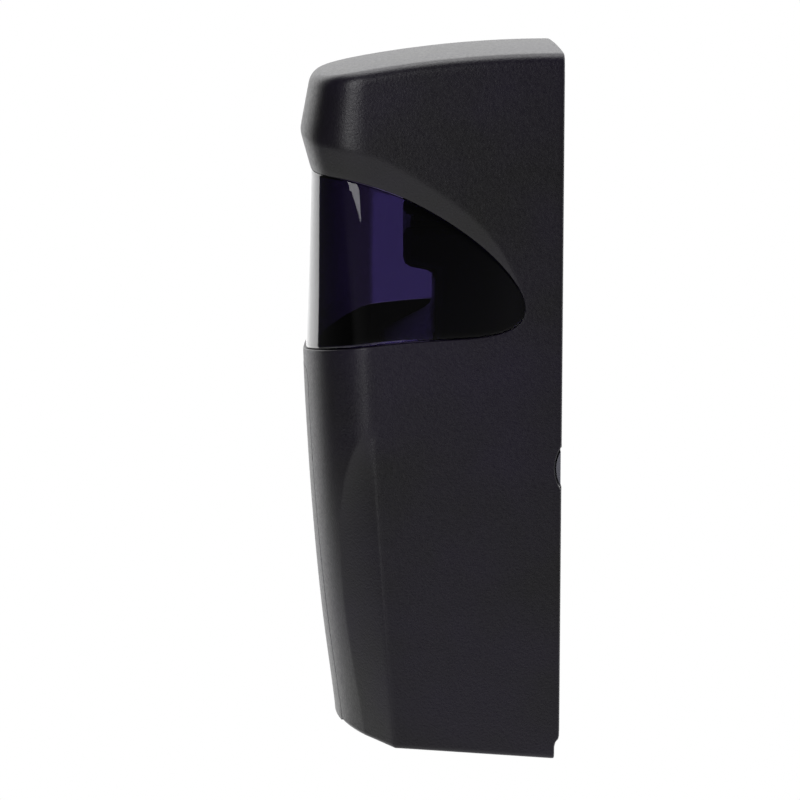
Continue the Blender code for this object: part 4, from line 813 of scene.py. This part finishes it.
def studio_light(tree, direction):
    """Brightness of the room in a direction: white behind and below the dispenser, dim round the camera."""
    split = add_node(tree, "ShaderNodeSeparateXYZ", {"Vector": direction})
    x, y, z = (split.outputs[axis] for axis in "XYZ")
    swing = maths(tree, "ARCTAN2", maths(tree, "MULTIPLY", y, -1.0), maths(tree, "MULTIPLY", x, -1.0))
    behind = maths(tree, "MULTIPLY", ramp(tree, swing, BRIGHT_SPAN, BRIGHT_SPAN + SPAN_EDGE, BRIGHT, 0.0),
                   ramp(tree, x, 0.0, 0.35, 1.0, 0.0))
    below = ramp(tree, z, BELOW_NEAR, BELOW_FAR, BELOW, 0.0)
    ahead = ramp(tree, x, 0.2, 0.7, 0.0, 1.0)
    dim = maths(tree, "MULTIPLY", ahead, ramp(tree, z, -0.32, 0.03, DIM_LOW, DIM_LEVEL))
    dim = maths(tree, "MAXIMUM", dim, DIM_SIDE)
    return maths(tree, "MAXIMUM", maths(tree, "MAXIMUM", behind, below), dim)


def white_to_camera(tree, strength, seen_as):
    """The strength for every ray but the camera's own, which gets a plain tone."""
    seen = add_node(tree, "ShaderNodeLightPath").outputs["Is Camera Ray"]
    node = add_node(tree, "ShaderNodeMix", {"Factor": seen})
    tree.links.new(strength, node.inputs["A"])
    node.inputs["B"].default_value = seen_as
    return node.outputs["Result"]


def world():
    result = bpy.data.worlds.new("studio")
    result.use_nodes = True
    tree = result.node_tree
    sky = tree.nodes["Background"]
    where = add_node(tree, "ShaderNodeTexCoord").outputs["Generated"]
    tree.links.new(white_to_camera(tree, studio_light(tree, where), 1.0), sky.inputs["Strength"])
    sky.inputs["Color"].default_value = (1.0, 1.0, 1.0, 1.0)
    bpy.context.scene.world = result


def area_light(name, spot, target, size, power):
    data = bpy.data.lights.new(name, "AREA")
    data.shape = "RECTANGLE"
    data.size, data.size_y = size
    data.energy = power
    light = bpy.data.objects.new(name, data)
    bpy.context.scene.collection.objects.link(light)
    light.location = spot
    light.rotation_euler = (Vector(target) - Vector(spot)).to_track_quat("-Z", "Y").to_euler()
    return light


def floor():
    """Plain pale floor, lit like the background that it runs into."""
    bm = bmesh.new()
    bmesh.ops.create_grid(bm, x_segments=8, y_segments=8, size=FLOOR_HALF)
    bmesh.ops.translate(bm, vec=(0, 0, -FLOOR_DROP - BASE), verts=bm.verts)
    result = make_object("floor", bm)
    material, tree, shader = new_material("pale_floor")
    where = add_node(tree, "ShaderNodeTexCoord").outputs["Object"]
    direction = add_node(tree, "ShaderNodeVectorMath", {0: where}, operation="NORMALIZE").outputs["Vector"]
    glow = white_to_camera(tree, studio_light(tree, direction), 1.0)
    shader.inputs["Base Color"].default_value = (0.0, 0.0, 0.0, 1.0)
    shader.inputs["Specular IOR Level"].default_value = 0.0
    shader.inputs["Roughness"].default_value = 1.0
    shader.inputs["Emission Color"].default_value = (1.0, 1.0, 1.0, 1.0)
    tree.links.new(glow, shader.inputs["Emission Strength"])
    dress(result, material)


def camera():
    data = bpy.data.cameras.new("camera")
    data.sensor_width = CAMERA_SENSOR
    data.lens = CAMERA_LENS
    result = bpy.data.objects.new("camera", data)
    bpy.context.scene.collection.objects.link(result)
    result.location = CAMERA_SPOT
    result.rotation_euler = (math.radians(90.0 - CAMERA_DIP), 0.0, math.radians(90.0))
    bpy.context.scene.camera = result


# ================================================================ assembly
def main():
    bpy.context.scene.view_settings.view_transform = "Standard"
    camera()
    world()
    floor()
    for light in LIGHTS:
        area_light(*light)

    finish = make_materials()
    nodes = frame["nodes"]
    slots = {row["node"]: row["material_slot"] for row in frame["record"]["subparts"]}
    for name, node in nodes.items():
        dress(node, finish[slots[name]])

    cover = dress(cover_shell(), finish["cover_plastic"])
    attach(cover, "cover")
    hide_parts("cover_shell")
    lens = dress(window_lens(), finish["window_plastic"])
    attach(lens, "cover")
    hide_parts("window_lens")
    lever = dress(push_lever(), finish["cover_plastic"])
    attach(lever, "lever")
    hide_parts("push_lever")
    springs = (
        spring("pump_spring", 1, 1, PUMP_WIRE),
        spring("release_spring_left", 0, 1, TAB_WIRE),
        spring("release_spring_right", 0, 0, TAB_WIRE),
    )
    for piece in springs:
        dress(piece, finish["steel"])


main()
